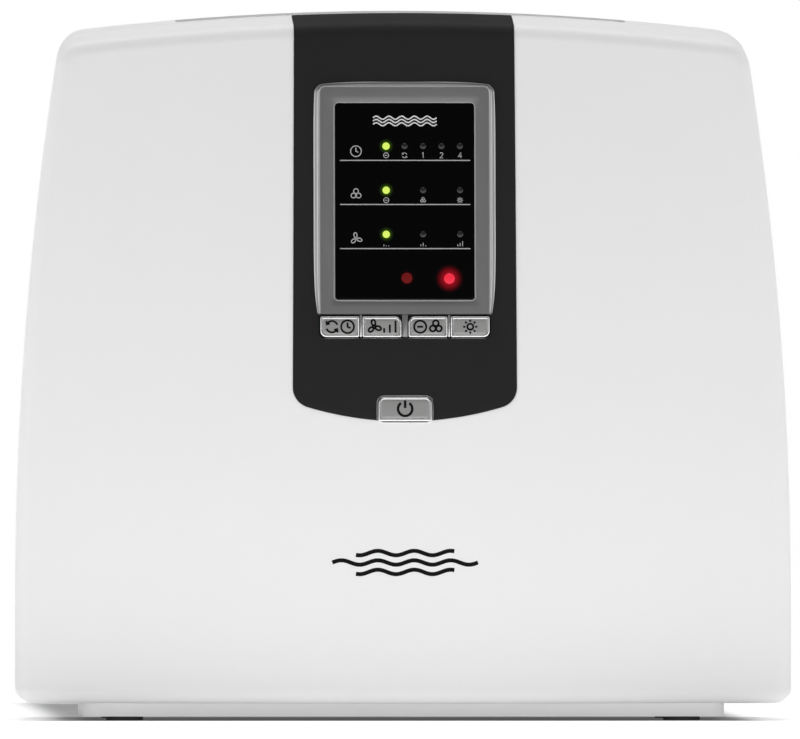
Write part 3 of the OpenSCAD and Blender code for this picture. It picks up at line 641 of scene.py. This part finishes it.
def make_front_shell():
    """White front half: one smooth skin with a seat for the strip."""
    outer = front_rings(0, 30, 10, 8)
    inner = front_rings(WALL, 14, 5, 3)
    shell = loft("front_shell_skin", outer + inner[::-1])
    display_hole = rounded_box(45.3 * MM, -63.6 * MM, 62 * MM, 3 * MM)
    power_hole = rounded_box(13.3 * MM, -104.8 * MM, -92 * MM, 3 * MM)
    cut(shell, [
        strip_solid("seat_cutter", -4 * MM, STRIP_T + 0.1 * MM, SEAT_GAP),
        panel_cutter(display_hole),
        panel_cutter(power_hole),
    ])
    finish_piece(shell, WHITE, stands_for=["front_shell"], sharp=30)


DOOR_HALF = 128 * MM
DOOR_LOW = 39 * MM
DOOR_HIGH = 291 * MM
DOOR_SWITCH_X = 50 * MM
SCREW_WELLS = [(side * x * MM, z * MM) for x, z in ((160, 26), (146, 300)) for side in (-1, 1)]


def make_rear_shell():
    """White rear half with the openings for the door, the outlet and the inlet."""
    side_y = np.linspace(SHELL_BACK_Y - BACK_R, PART_Y + GROOVE, 14)[1:]
    outer = back_fillet(0, 12) + [rear_ring(0, y) for y in side_y]
    outer += [rear_ring(GROOVE, PART_Y + GROOVE), rear_ring(GROOVE, PART_Y)]
    inner = [rear_ring(WALL, y) for y in np.linspace(PART_Y, SHELL_BACK_Y - BACK_R, 10)[:-1]]
    inner += back_fillet(WALL, 5)[::-1]
    shell = loft("rear_shell_skin", outer + inner)
    outlet_low, outlet_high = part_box("outlet_grille")
    inlet_low, inlet_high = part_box("mains_inlet")
    switch_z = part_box("door_switch")[0].z
    gap = 0.3 * MM
    rim = 2 * MM
    inside = SHELL_BACK_Y - 10 * MM
    outside = SHELL_BACK_Y + 9 * MM
    bore = (SHELL_BACK_Y - 6 * MM, SHELL_BACK_Y + 6 * MM)
    switch_r = 2.4 * MM
    well_r = 4.2 * MM
    cutters = [
        box_between("door_cutter", (-DOOR_HALF, inside, DOOR_LOW), (DOOR_HALF, outside, DOOR_HIGH)),
        box_between("outlet_cutter", (outlet_low.x - gap, outlet_low.y - gap, outlet_low.z - 10 * MM),
                    (outlet_high.x + gap, outlet_high.y + gap, BODY_H + 10 * MM)),
        box_between("inlet_cutter", (inlet_low.x + rim, inside, inlet_low.z + rim),
                    (inlet_high.x - rim, outside, inlet_high.z - rim)),
        rod("switch_cutter", DOOR_SWITCH_X, switch_z, switch_r, *bore),
    ]
    cutters += [rod("well_cutter", x, z, well_r, *bore) for x, z in SCREW_WELLS]
    cut(shell, cutters)
    finish_piece(shell, WHITE, stands_for=["rear_shell"], sharp=30)


def rounded_box(half_w, z0, z1, radius, steps=8, low_radius=None):
    """Outline of a rectangle with round corners in x, z."""
    low = radius if low_radius is None else low_radius
    corners = [(half_w - low, z0 + low, low, -90), (half_w - radius, z1 - radius, radius, 0),
               (-half_w + radius, z1 - radius, radius, 90), (-half_w + low, z0 + low, low, 180)]
    turns = [arc((x, z), r, math.radians(start), math.radians(start + 90), steps)
             for x, z, r, start in corners]
    points = []
    for k, turn in enumerate(turns):
        following = turns[(k + 1) % 4][0]
        side = turn[-1] + np.linspace(0, 1, 17)[1:-1, None] * (following - turn[-1])
        points.append(np.concatenate([turn, side]))
    return np.concatenate(points)


def make_strip():
    """Dark strip, with the holes for the bezel and the keys."""
    strip = strip_solid("control_strip", -STRIP_PROUD, STRIP_T, 0)
    bevel(strip, 0.45 * MM, 3, 50)
    apply_modifiers(strip)
    cutters = [panel_cutter(swell(bezel_flat(BEZEL_R), 0.2 * MM))]
    for key in KEYS:
        gap = 0.9 * MM if key.name == "power" else 0.6 * MM
        cutters.append(panel_cutter(key_outline(key, gap)))
    cut(strip, cutters)
    finish_piece(strip, STRIP, stands_for=["fascia_strip"], sharp=30)


# ---------- display, bezel and keys, drawn in the panel's own axes ----------

BEZEL_LOW = -52.2 * MM
BEZEL_FLAT_HALF = 41.2 * MM
BEZEL_FLAT_TOP = 58.9 * MM
BEZEL_R = 3.4 * MM
BEZEL_LOW_R = 0.8 * MM
WINDOW_HALF = 34 * MM
WINDOW_LOW = -45.2 * MM
WINDOW_TOP = 51.2 * MM
KEY_GAP = 0.25 * MM
KEY_ROW = -58.4 * MM
KEY_W = 19 * MM
KEY_H = 10.2 * MM
KEY_R = 3 * MM
KEY_TIGHT_R = 0.7 * MM
KEY_FACE_SINK = 0.04 * MM
POWER_ROW = -98.4 * MM
POWER_W = 26 * MM
POWER_H = 12 * MM
PAIR_GAP = 1.6 * MM
CENTRE_GAP = 3.4 * MM
INNER_X = (CENTRE_GAP + KEY_W) / 2
OUTER_X = INNER_X + KEY_W + PAIR_GAP

# Middle, width and height in x, z; round corners as signs of x and z; depth of the front
Key = namedtuple("Key", "name x z w h rounds front")
KEY_FRONT = -1.8 * MM
KEYS = [
    Key("mode", -OUTER_X, KEY_ROW, KEY_W, KEY_H, [(-1, -1)], KEY_FRONT),
    Key("speed", -INNER_X, KEY_ROW, KEY_W, KEY_H, [(1, 1)], KEY_FRONT),
    Key("function", INNER_X, KEY_ROW, KEY_W, KEY_H, [(-1, 1)], KEY_FRONT),
    Key("uv", OUTER_X, KEY_ROW, KEY_W, KEY_H, [(1, -1)], KEY_FRONT),
    Key("power", 0.0, POWER_ROW, POWER_W, POWER_H, [(-1, 1), (1, 1)], 0.0),
]


def key_outline(key, grow=0.0):
    """Outline of a key in x, z, grown or shrunk evenly."""
    points = []
    for sx, sz, start in ((1, -1, -90), (1, 1, 0), (-1, 1, 90), (-1, -1, 180)):
        radius = max((KEY_R if (sx, sz) in key.rounds else KEY_TIGHT_R) + grow, 0.15 * MM)
        corner = (key.x + sx * (key.w / 2 + grow - radius), key.z + sz * (key.h / 2 + grow - radius))
        points.append(arc(corner, radius, math.radians(start), math.radians(start + 90), 6))
    return np.concatenate(points)


def bezel_flat(radius):
    """Outline of the bezel's flat, with the given upper corners."""
    return rounded_box(BEZEL_FLAT_HALF, BEZEL_LOW, BEZEL_FLAT_TOP, radius, low_radius=BEZEL_LOW_R)


def make_bezel():
    """Dark metallic frame: a rim that swells along the sides and top, and a flat round the window."""
    flat = -1.35 * MM
    rim_foot = -0.2 * MM
    rim_slope = 0.38
    rim_skew = 1.6
    behind = 5 * MM
    inner = bezel_flat(2.6 * MM)
    outer = swell(bezel_flat(BEZEL_R))
    width = np.linalg.norm(outer - inner, axis=1)
    rings = [at_depth(outer, behind)]
    for share in np.linspace(0, 1, 21):
        ring = at_depth(outer + share * (inner - outer), 0.0)
        rise = rim_slope * width * math.sin(math.pi * share ** rim_skew)
        ring[:, 1] = rim_foot + share * (flat - rim_foot) - rise
        rings.append(ring)
    lap = 0.2 * MM
    side_in = BEZEL_FLAT_HALF - WINDOW_HALF - lap
    top_in = BEZEL_FLAT_TOP - WINDOW_TOP - lap
    low_in = WINDOW_LOW - BEZEL_LOW - lap
    steps = [(0.04, flat), (0.5, flat), (0.96, flat), (1.0, flat + 0.1 * MM), (1.0, 1.1 * MM), (1.0, behind)]
    for share, y in steps:
        shape = rounded_box(BEZEL_FLAT_HALF - side_in * share, BEZEL_LOW + low_in * share,
                            BEZEL_FLAT_TOP - top_in * share, 2.4 * MM,
                            low_radius=BEZEL_LOW_R + 1.6 * share * MM)
        rings.append(at_depth(shape, y))
    bezel = on_panel(loft("bezel_frame", rings, closed=True))
    finish_piece(bezel, BEZEL, stands_for=["display_bezel"], sharp=38)


def swell(shape, grow=0.0):
    """The bezel's outer edge: its flat's outline, swollen most at the middle of the sides and top."""
    side_mid = 8 * MM
    side_reach = 64 * MM
    top_reach = 46 * MM
    swollen = shape.copy()
    x = shape[:, 0]
    z = shape[:, 1]
    sides = 1 - np.clip(np.abs(z - side_mid) / side_reach, 0, 1) ** 6
    swollen[:, 0] += (x / BEZEL_FLAT_HALF) * (0.4 * MM + 2.7 * MM * sides + grow)
    over = np.clip(z / BEZEL_FLAT_TOP, 0, 1) ** 2
    swollen[:, 1] += over * (0.3 * MM + 2.6 * MM * (1 - np.abs(x / top_reach) ** 4) + grow)
    swollen[:, 1] -= (1 - over) * (z < 0) * grow
    return swollen


def make_window_edge():
    """Thin bright bead of plated metal round the window."""
    width = 0.7 * MM
    rings = []
    for a in np.linspace(0, math.pi, 9):
        extra = width * (1 + math.cos(a)) / 2
        shape = rounded_box(WINDOW_HALF + extra, WINDOW_LOW - extra, WINDOW_TOP + extra, 1.6 * MM + extra)
        rings.append(at_depth(shape, (-1.25 - 0.3 * math.sin(a)) * MM))
    edge = on_panel(loft("window_edge", rings, closed=True))
    finish_piece(edge, EDGE)


def make_bezel_tabs():
    """Tabs of the bezel that come down between the keys."""
    width = CENTRE_GAP - 2 * KEY_GAP - 0.3 * MM
    pair = PAIR_GAP - 2 * KEY_GAP
    places = [(0.0, width), (-(INNER_X + OUTER_X) / 2, pair), ((INNER_X + OUTER_X) / 2, pair)]
    for i, (x, w) in enumerate(places):
        shape = rounded_box(w / 2, KEY_ROW - KEY_H / 2 + 0.2 * MM, BEZEL_LOW - 0.1 * MM, 0.3 * MM, 3)
        shape[:, 0] += x
        tab = on_panel(prism("bezel_tab_%d" % i, shape, -1.3 * MM, 0.2 * MM))
        bevel(tab, 0.2 * MM, 2)
        finish_piece(apply_modifiers(tab), BRIGHT if i else BEZEL)


def make_key(key):
    """A key cap: grey face inside a bright rolled edge, on its stem."""
    body = key.name + "_button"
    front = key.front
    back = 3.4 * MM
    rolled = 0.7 * MM
    edge_w = 1.15 * MM

    def ring(shrink, y):
        """The key's outline, shrunk evenly, at depth y."""
        return at_depth(key_outline(key, -shrink), y)

    rings = [ring(0.3 * MM, back), ring(0, back - 0.3 * MM)]
    rings += [ring(rolled * (1 - math.cos(a)), front + rolled * (1 - math.sin(a)))
              for a in np.linspace(0, math.pi / 2, 6)]
    rings += [ring(edge_w, front), ring(edge_w + 0.22 * MM, front + 0.22 * MM)]
    rim = on_panel(loft(key.name + "_key_rim", rings))
    finish_piece(rim, BRIGHT, body, sharp=50)
    face_steps = [(0.1, 0.5), (0.1, 0.16), (0.35, 0.08), (1.6, KEY_FACE_SINK / MM)]
    face_rings = [ring(edge_w + shrink * MM, front + sink * MM) for shrink, sink in face_steps]
    face = on_panel(loft(key.name + "_key_face", face_rings))
    finish_piece(face, KEY, body, sharp=50)
    stem = on_panel(rod(key.name + "_key_stem", key.x, key.z, 2.5 * MM, back - 0.1 * MM, 5.5 * MM))
    bevel(stem, 0.3 * MM, 2)
    finish_piece(apply_modifiers(stem), KEY, body, stands_for=[body])


# ---------- lamps of the display ----------

LED_PITCH = 9 * MM
LED_ROWS = [(30.1 * MM, (-1, 0, 1, 2, 3)), (8.5 * MM, (-1, 1, 3)), (-13.1 * MM, (-1, 1, 3))]
LIT_COLUMN = -1
STATUS_LEDS = [(1.0 * MM, -34.5 * MM, False), (21.7 * MM, -34.8 * MM, True)]
WINDOW_Y = -1.2 * MM


def panel_point(x, y, z):
    """A point given in the panel's axes, in the frame's axes."""
    return tuple(TO_PANEL @ Vector((x, y, z)))


def lens(name, x, z, radius, material, stands_for=()):
    """A round lamp lens with a low dome."""
    front = WINDOW_Y + 0.05 * MM
    steps = [(radius, 2 * MM)]
    steps += [(radius * math.sin(a), front - 0.35 * radius * math.cos(a))
              for a in np.linspace(math.pi / 2, 0.06, 10)]
    piece = on_panel(loft(name, [at_depth(round_shape(x, z, r, 40), y) for r, y in steps]))
    finish_piece(piece, material, stands_for=stands_for)


def make_lamps():
    """Small lamps in three rows, the first of each lit, and the two red ones below."""
    off = surface("lens_off", (0.011, 0.011, 0.012), 0.25, bump=0.02)
    lit = surface("lens_lit", (0.10, 0.14, 0.02), 0.3, bump=0.02, specular=0.15)
    glow(lit, (0.60, 0.78, 0.12), 1.0)
    red_dim = surface("lens_red_dim", (0.03, 0.002, 0.002), 0.5, bump=0.02, specular=0.04)
    glow(red_dim, (0.12, 0.006, 0.007), 1.0)
    red_lit = surface("lens_red_lit", (0.10, 0.01, 0.02), 0.3, bump=0.02, specular=0.15)
    glow(red_lit, (0.80, 0.02, 0.045), 1.0)
    spots = []
    for r, (z, columns) in enumerate(LED_ROWS):
        for c in columns:
            x = c * LED_PITCH
            is_lit = c == LIT_COLUMN
            stands_for = () if spots or not is_lit else ["indicator_leds"]
            lens("row_%d_lamp_%d" % (r, c + 1), x, z, (1.8 if is_lit else 1.5) * MM, lit if is_lit else off,
                 stands_for)
            if is_lit:
                spots.append((panel_point(x, WINDOW_Y, z), (0.25, 0.6, 0.02), 0.16, 4.2 * MM))
    for i, (x, z, is_lit) in enumerate(STATUS_LEDS):
        stands_for = () if i else ["status_leds"]
        lens("status_lamp_%d" % i, x, z, 2.6 * MM, red_lit if is_lit else red_dim, stands_for)
        reach, strength = (7.5 * MM, 0.5) if is_lit else (4.5 * MM, 0.06)
        spots.append((panel_point(x, WINDOW_Y, z), (0.75, 0.01, 0.03), strength, reach))
    return spots


def make_window(spots):
    """Black window with softened edges."""
    def ring(shrink, y):
        """The window's outline, shrunk evenly, at depth y."""
        return at_depth(rounded_box(WINDOW_HALF - shrink, WINDOW_LOW + shrink, WINDOW_TOP - shrink,
                                    2 * MM - shrink), y)

    rings = [ring(0, 1.1 * MM), ring(0, WINDOW_Y + 0.2 * MM), ring(0.06 * MM, WINDOW_Y + 0.06 * MM),
             ring(0.2 * MM, WINDOW_Y), ring(0.8 * MM, WINDOW_Y)]
    window = on_panel(loft("window_pane", rings))
    finish_piece(window, window_surface(spots), stands_for=["display_window"])


# ---------- printed marks ----------

def ribbon(line, width, closed=False):
    """The two edges of a stroke of even width along a line of points."""
    line = np.array(line, float)
    count = len(line)
    edges = []
    for i, point in enumerate(line):
        before = line[i - 1] if closed or i else line[i]
        after = line[(i + 1) % count] if closed or i < count - 1 else line[i]
        into = (point - before) / max(np.linalg.norm(point - before), 1e-12)
        out = (after - point) / max(np.linalg.norm(after - point), 1e-12)
        along = into + out
        along /= max(np.linalg.norm(along), 1e-12)
        side = np.array([-along[1], along[0]])
        stretch = 1 / max(abs(along @ (out if np.any(out) else into)), 0.5)
        edges.append((point + side * width / 2 * stretch, point - side * width / 2 * stretch))
    return edges


def print_marks(name, strokes, width, depth, material, body="casing", stands=0.03 * MM):
    """Printed strokes as one thin piece. Depth gives the surface's y at x, z in the strokes' axes."""
    sunk = 0.12 * MM
    points = []
    faces = []
    for line, closed in strokes:
        edges = ribbon(line, width, closed)
        start = len(points)
        for left, right in edges:
            for x, z in (left, right):
                surface_y = depth(x, z)
                points += [(x, surface_y - stands, z), (x, surface_y + sunk, z)]
        count = len(edges)
        for i in range(count if closed else count - 1):
            a = start + 4 * i
            b = start + 4 * ((i + 1) % count)
            faces += [(a, b, b + 2, a + 2), (a + 1, a + 3, b + 3, b + 1),
                      (a, a + 1, b + 1, b), (a + 2, b + 2, b + 3, a + 3)]
        if not closed:
            for a in (start, start + 4 * (count - 1)):
                faces.append((a, a + 2, a + 3, a + 1))
    return finish_piece(new_object(name, points, faces), material, body, sharp=30)


def bow(start, end, radius):
    """A round stroke between two angles in degrees, open."""
    return arc((0.0, 0.0), radius, math.radians(start), math.radians(end), 24)


def circle(radius, centre=(0.0, 0.0), steps=28):
    """A closed round stroke."""
    return arc(centre, radius, 0, 2 * math.pi, steps)[:-1], True


def dash(*points):
    """An open stroke through points."""
    return np.array(points, float), False


# Each sign is a list of strokes in a square from -1 to 1

def power_sign():
    """Broken ring with an upright bar."""
    return [(bow(125, 415, 0.85), False), dash((0, 0.1), (0, 1))]


def cycle_sign():
    """Two arrows that chase each other."""
    strokes = []
    for turn in (0, 180):
        tip = bow(turn + 20, turn + 155, 0.8)
        strokes.append((tip, False))
        end = tip[-1]
        c, s = math.cos(math.radians(turn)), math.sin(math.radians(turn))
        strokes.append(dash(end + [0.42 * c - 0.12 * s, 0.42 * s + 0.12 * c], end,
                            end + [-0.05 * c - 0.48 * s, -0.05 * s + 0.48 * c]))
    return strokes


def clock_sign():
    """Clock face with two hands."""
    return [circle(0.9), dash((0, 0.6), (0, 0), (0.42, -0.2))]


def fan_sign():
    """Three curved blades round a hub."""
    strokes = [circle(0.18, steps=12)]
    for turn in (90, 210, 330):
        a = math.radians(turn)
        blade = []
        for t in np.linspace(0, 1, 15):
            out = 0.28 + 0.72 * math.sin(math.pi * t)
            swing = a + (t - 0.35) * 1.3
            blade.append((out * math.cos(swing), out * math.sin(swing)))
        strokes.append((np.array(blade), True))
    return strokes


def ion_sign():
    """Ring with a minus inside."""
    return [circle(0.85), dash((-0.42, 0), (0.42, 0))]


def molecule_sign():
    """Three joined rings."""
    return [circle(0.4, (math.cos(a) * 0.5, math.sin(a) * 0.5), 18)
            for a in (math.radians(90), math.radians(210), math.radians(330))]


def sun_sign():
    """Small ring with eight rays."""
    rays = [dash((0.68 * math.cos(a), 0.68 * math.sin(a)), (math.cos(a), math.sin(a)))
            for a in np.linspace(0, 2 * math.pi, 9)[:-1]]
    return [circle(0.42, steps=18)] + rays


def level_sign(count):
    """Three rising bars, those above the count left as stubs."""
    tall = (0.65, 1.15, 1.7)
    return [dash((x, -0.85), (x, -0.85 + (tall[i] if i < count else 0.3)))
            for i, x in enumerate((-0.8, 0.0, 0.8))]


def wave_sign(periods, height):
    """A wavy line."""
    x = np.linspace(-1, 1, 10 * periods + 1)
    return [(np.stack([x, height * np.sin((x + 1) * math.pi * periods)], 1), False)]


DIGITS = {
    "1": [dash((-0.35, 0.55), (0.05, 0.9), (0.05, -0.9))],
    "2": [dash((-0.5, 0.55), (-0.3, 0.85), (0.3, 0.85), (0.5, 0.5), (0.4, 0.1), (-0.5, -0.88),
               (0.55, -0.88))],
    "4": [dash((0.3, -0.9), (0.3, 0.9), (-0.6, -0.35), (0.65, -0.35))],
}


def placed(strokes, x, z, size):
    """Strokes of a sign moved to x, z at a half size."""
    return [(np.array(line) * size + [x, z], closed) for line, closed in strokes]


DIVIDERS = [23.1 * MM, 1.5 * MM, -20.1 * MM]
LABEL_X = -23.7 * MM
LABEL_SIZE = 2.9 * MM
CAPTION_SIZE = 1.45 * MM
ROW_CAPTIONS = [
    (clock_sign, 27.6 * MM, 25.6 * MM, [(-1, ion_sign), (0, cycle_sign), (1, "1"), (2, "2"), (3, "4")]),
    (molecule_sign, 6.6 * MM, 3.6 * MM, [(-1, ion_sign), (1, molecule_sign), (3, sun_sign)]),
    (fan_sign, -15.2 * MM, -17.7 * MM, [(-1, 1), (1, 2), (3, 3)]),
]


def make_window_print():
    """Title, captions and lines on the window."""
    title = []
    for step in (-1, 0, 1):
        title += placed(wave_sign(5, 0.05), 0.2 * MM, 42.4 * MM + step * 1.6 * MM, 15.5 * MM)
    captions = []
    row_signs = []
    for sign, z, caption_z, entries in ROW_CAPTIONS:
        row_signs += placed(sign(), LABEL_X, z, LABEL_SIZE)
        for column, what in entries:
            if isinstance(what, int):
                strokes = level_sign(what)
            else:
                strokes = DIGITS[what] if isinstance(what, str) else what()
            captions += placed(strokes, column * LED_PITCH, caption_z, CAPTION_SIZE)
    lines = [dash((-31.5 * MM, z), (32.0 * MM, z)) for z in DIVIDERS]
    prints = [("window_title", title, 0.62 * MM, PRINT_LIGHT),
              ("window_captions", captions, 0.36 * MM, PRINT_DIM),
              ("window_row_signs", row_signs, 0.5 * MM, PRINT_DIM),
              ("window_lines", lines, 0.5 * MM, PRINT_DIM)]
    for name, strokes, width, material in prints:
        on_panel(print_marks(name, strokes, width, lambda x, z: WINDOW_Y, material))


KEY_SIGNS = {
    "mode": (cycle_sign, clock_sign),
    "speed": (fan_sign, lambda: level_sign(3)),
    "function": (ion_sign, molecule_sign),
    "uv": (sun_sign,),
    "power": (power_sign,),
}


def make_key_print(key):
    """Dark signs on a key."""
    signs = KEY_SIGNS[key.name]
    size = 0.34 * key.h
    pitch = 7.6 * MM
    strokes = []
    for i, sign in enumerate(signs):
        strokes += placed(sign(), key.x + (i - (len(signs) - 1) / 2) * pitch, key.z, size)
    width = (1.25 if key.name == "power" else 0.95) * MM
    on_panel(print_marks(key.name + "_key_sign", strokes, width, lambda x, z: key.front + KEY_FACE_SINK,
                         PRINT_DARK, key.name + "_button"))


def make_front_mark():
    """Plain mark of three air waves on the lower front."""
    wave = 17.75 * MM
    strokes = []
    for step, half in ((1, 24 * MM), (0, 35.5 * MM), (-1, 24 * MM)):
        x = np.linspace(-half, half, 41)
        z = 77.2 * MM + step * 4.6 * MM + 1.1 * MM * np.sin(x / wave * 2 * math.pi)
        strokes.append((np.stack([x, z], 1), False))
    print_marks("front_mark", strokes, 2.0 * MM, lambda x, z: float(face_y(x, z)), PRINT_DARK,
                stands=0.02 * MM)


# ---------- the CAD nodes that show as they are ----------

# Roughness of the bare metals
METALS = {"steel": 0.28, "lamination": 0.5, "copper": 0.35, "bronze": 0.4, "reflector": 0.12,
          "pin_metal": 0.22}
# slot: the node it is for, the colours of its rim and of its cells (painted shade in the cells), the pattern
# and its pitch
PATTERNS = {
    "filter_net": ("prefilter", (0.09, 0.09, 0.092), (0.012, 0.012, 0.012), net, 3.2 * MM),
    "carbon": ("carbon_filter", (0.06, 0.06, 0.06), (0.006, 0.006, 0.006), honeycomb, 6 * MM),
    "catalyst": ("catalyst_filter", (0.5, 0.48, 0.42), (0.13, 0.12, 0.10), honeycomb, 5 * MM),
}
OWN = {"shell": WHITE, "base": PLINTH_WHITE_BRIGHTENED, "strip": STRIP, "bezel_metal": BEZEL, "key_metal": KEY}
# Radius that softens the edges of the outer CAD nodes
ROUNDED = {"base_plate": 1.6 * MM, "outlet_grille": 0.35 * MM, "rear_cover": 0.6 * MM,
           "mains_inlet": 0.5 * MM, "rubber_feet": 0.8 * MM}


def slot_materials():
    """One material for each slot of the record."""
    made = dict(OWN)
    for entry in frame["record"]["materials"]:
        slot = entry["slot"]
        if slot in made:
            continue
        if slot in PATTERNS:
            made[slot] = pattern_surface(slot, *PATTERNS[slot])
            continue
        colour = entry["base_color"][:3]
        if slot in METALS:
            made[slot] = surface(slot, colour, METALS[slot], grain=1400, bump=0.08, vary=0.06, metallic=1.0)
        elif slot == "lamp_glass":
            made[slot] = surface(slot, colour, 0.05, bump=0.02, rough_vary=0.02, Transmission_Weight=0.85)
        else:
            rough = 0.8 if entry["class"] in ("fabric", "paper", "cardboard", "rubber") else 0.45
            made[slot] = surface(slot, colour, rough, grain=1600, bump=0.25, vary=0.08)
    return made


def dress_cad_nodes():
    """Gives every CAD node that still shows its slot's material, and softens the outer ones."""
    made = slot_materials()
    slots = {entry["node"]: entry["material_slot"] for entry in frame["record"]["subparts"]}
    for name, obj in NODES.items():
        if obj.hide_render:
            continue
        slot = slots[name]
        obj.data.materials.clear()
        obj.data.materials.append(made[slot])
        smooth_by_angle(obj.data, 30)
        if name in ROUNDED:
            bevel(obj, ROUNDED[name], 3, 35)


# ---------- room, lights and camera ----------

def make_floor():
    """Pale round floor. It shines a little, less beside the object and hardly at all under or behind it,
    where it is also painted darker: a painted shadow."""
    painted_shadow = (0.3, 0.3, 0.3)
    pale = (0.93, 0.93, 0.93)
    # Its shine in the painted shadow, close beside the object and in the open
    faint, low, full = 0.06, 0.35, 0.84
    rings = []
    for radius, z in ((1.18, -0.02), (1.2, -0.01), (1.18, 0.0)):
        rings.append([(x, y, z) for x, y in round_shape(0, 0, radius, 96)])
    floor = loft("floor", rings)
    material = surface("floor_white", pale, 0.7, grain=40, bump=0.02, vary=0.004)
    tree = material.node_tree
    _, x, y, _ = coordinates(tree)
    off_middle = combine(tree, "ABSOLUTE", x)
    # Metres over which the painted shadow fades out beside, before and far behind the object
    beside = span(tree, off_middle, 0, 1, 0.156, 0.182)
    beside.node.interpolation_type = "SMOOTHSTEP"
    before = span(tree, y, 0, 1, -0.065, -0.138)
    beyond = span(tree, y, 0, 1, 0.7, 0.9)
    open_floor = combine(tree, "MAXIMUM", before, beyond)
    clear = combine(tree, "MAXIMUM", beside, open_floor)
    shader = tree.nodes["Principled BSDF"]
    # Painted shadow: the floor's colour turns dark grey under and behind the object.
    tree.links.new(mix_colour(tree, clear, painted_shadow, pale), shader.inputs["Base Color"])
    side_glow = combine(tree, "MULTIPLY", beside, span(tree, off_middle, low, full, 0.2, 0.4))
    glow_strength = combine(tree, "MAXIMUM", side_glow, span(tree, open_floor, faint, full))
    shader.inputs["Emission Color"].default_value = (1, 1, 1, 1)
    tree.links.new(glow_strength, shader.inputs["Emission Strength"])
    floor.data.materials.append(material)
    smooth_by_angle(floor.data)


def area_light(name, place, target, size, power):
    """A soft square light aimed at a point."""
    data = bpy.data.lights.new(name, "AREA")
    data.shape = "RECTANGLE"
    data.size, data.size_y = size
    data.energy = power
    light = bpy.data.objects.new(name, data)
    light.location = place
    light.visible_camera = False
    light.rotation_mode = "QUATERNION"
    light.rotation_quaternion = (Vector(target) - Vector(place)).to_track_quat("-Z", "Y")
    bpy.context.scene.collection.objects.link(light)


def make_lights():
    """Soft boxes at both sides, behind and above, and a low strip that lifts the foot of the face."""
    area_light("soft_left", (-2.05, -0.95, 0.35), (0, -0.05, 0.17), (1.4, 1.6), 11.5)
    area_light("soft_right", (2.05, -0.95, 0.35), (0, -0.05, 0.17), (1.4, 1.6), 10.7)
    area_light("low_front", (0, -0.27, 0.015), (0, -0.095, 0.015), (0.5, 0.02), 0.05)
    area_light("soft_back", (0, 0.9, 2.0), (0, 0, 0.3), (2.2, 1.0), 21)
    area_light("soft_top", (0, -0.1, 2.0), (0, 0, 0.1), (2.0, 1.8), 18)


def make_sky():
    """Dim even sky, white below and along the horizon, which is what the camera sees."""
    dim = 0.1
    band = 0.05
    world = bpy.data.worlds.new("studio")
    bpy.context.scene.world = world
    world.use_nodes = True
    tree = world.node_tree
    *_, height = coordinates(tree, "Generated")
    tree.nodes["Background"].inputs["Color"].default_value = (1, 1, 1, 1)
    strength = span(tree, height, 1.0, dim, band, 2 * band)
    tree.links.new(strength, tree.nodes["Background"].inputs["Strength"])


CAMERA_AWAY = 16.0
CAMERA_YAW = math.radians(1.6)
VIEW_WIDTH = 0.3912
VIEW_MID_X = -0.0007
VIEW_MID_Z = 0.1712
SENSOR_WIDTH = 36


def make_camera():
    """Long lens, level, a little to the left of the middle."""
    data = bpy.data.cameras.new("camera")
    data.sensor_width = SENSOR_WIDTH
    data.lens = SENSOR_WIDTH * CAMERA_AWAY / VIEW_WIDTH
    camera = bpy.data.objects.new("camera", data)
    middle = Vector((VIEW_MID_X, PART_Y, VIEW_MID_Z))
    back = Vector((-math.sin(CAMERA_YAW), -math.cos(CAMERA_YAW), 0))
    camera.location = middle + back * CAMERA_AWAY
    camera.rotation_mode = "QUATERNION"
    camera.rotation_quaternion = (-back).to_track_quat("-Z", "Y")
    bpy.context.scene.collection.objects.link(camera)
    bpy.context.scene.camera = camera


# ---------- assembly ----------

make_front_shell()
make_rear_shell()
make_strip()
make_bezel()
make_window_edge()
make_bezel_tabs()
for one_key in KEYS:
    make_key(one_key)
    make_key_print(one_key)
make_window(make_lamps())
make_window_print()
make_front_mark()
dress_cad_nodes()
make_floor()
make_lights()
make_sky()
make_camera()
bpy.context.scene.view_settings.view_transform = "Standard"
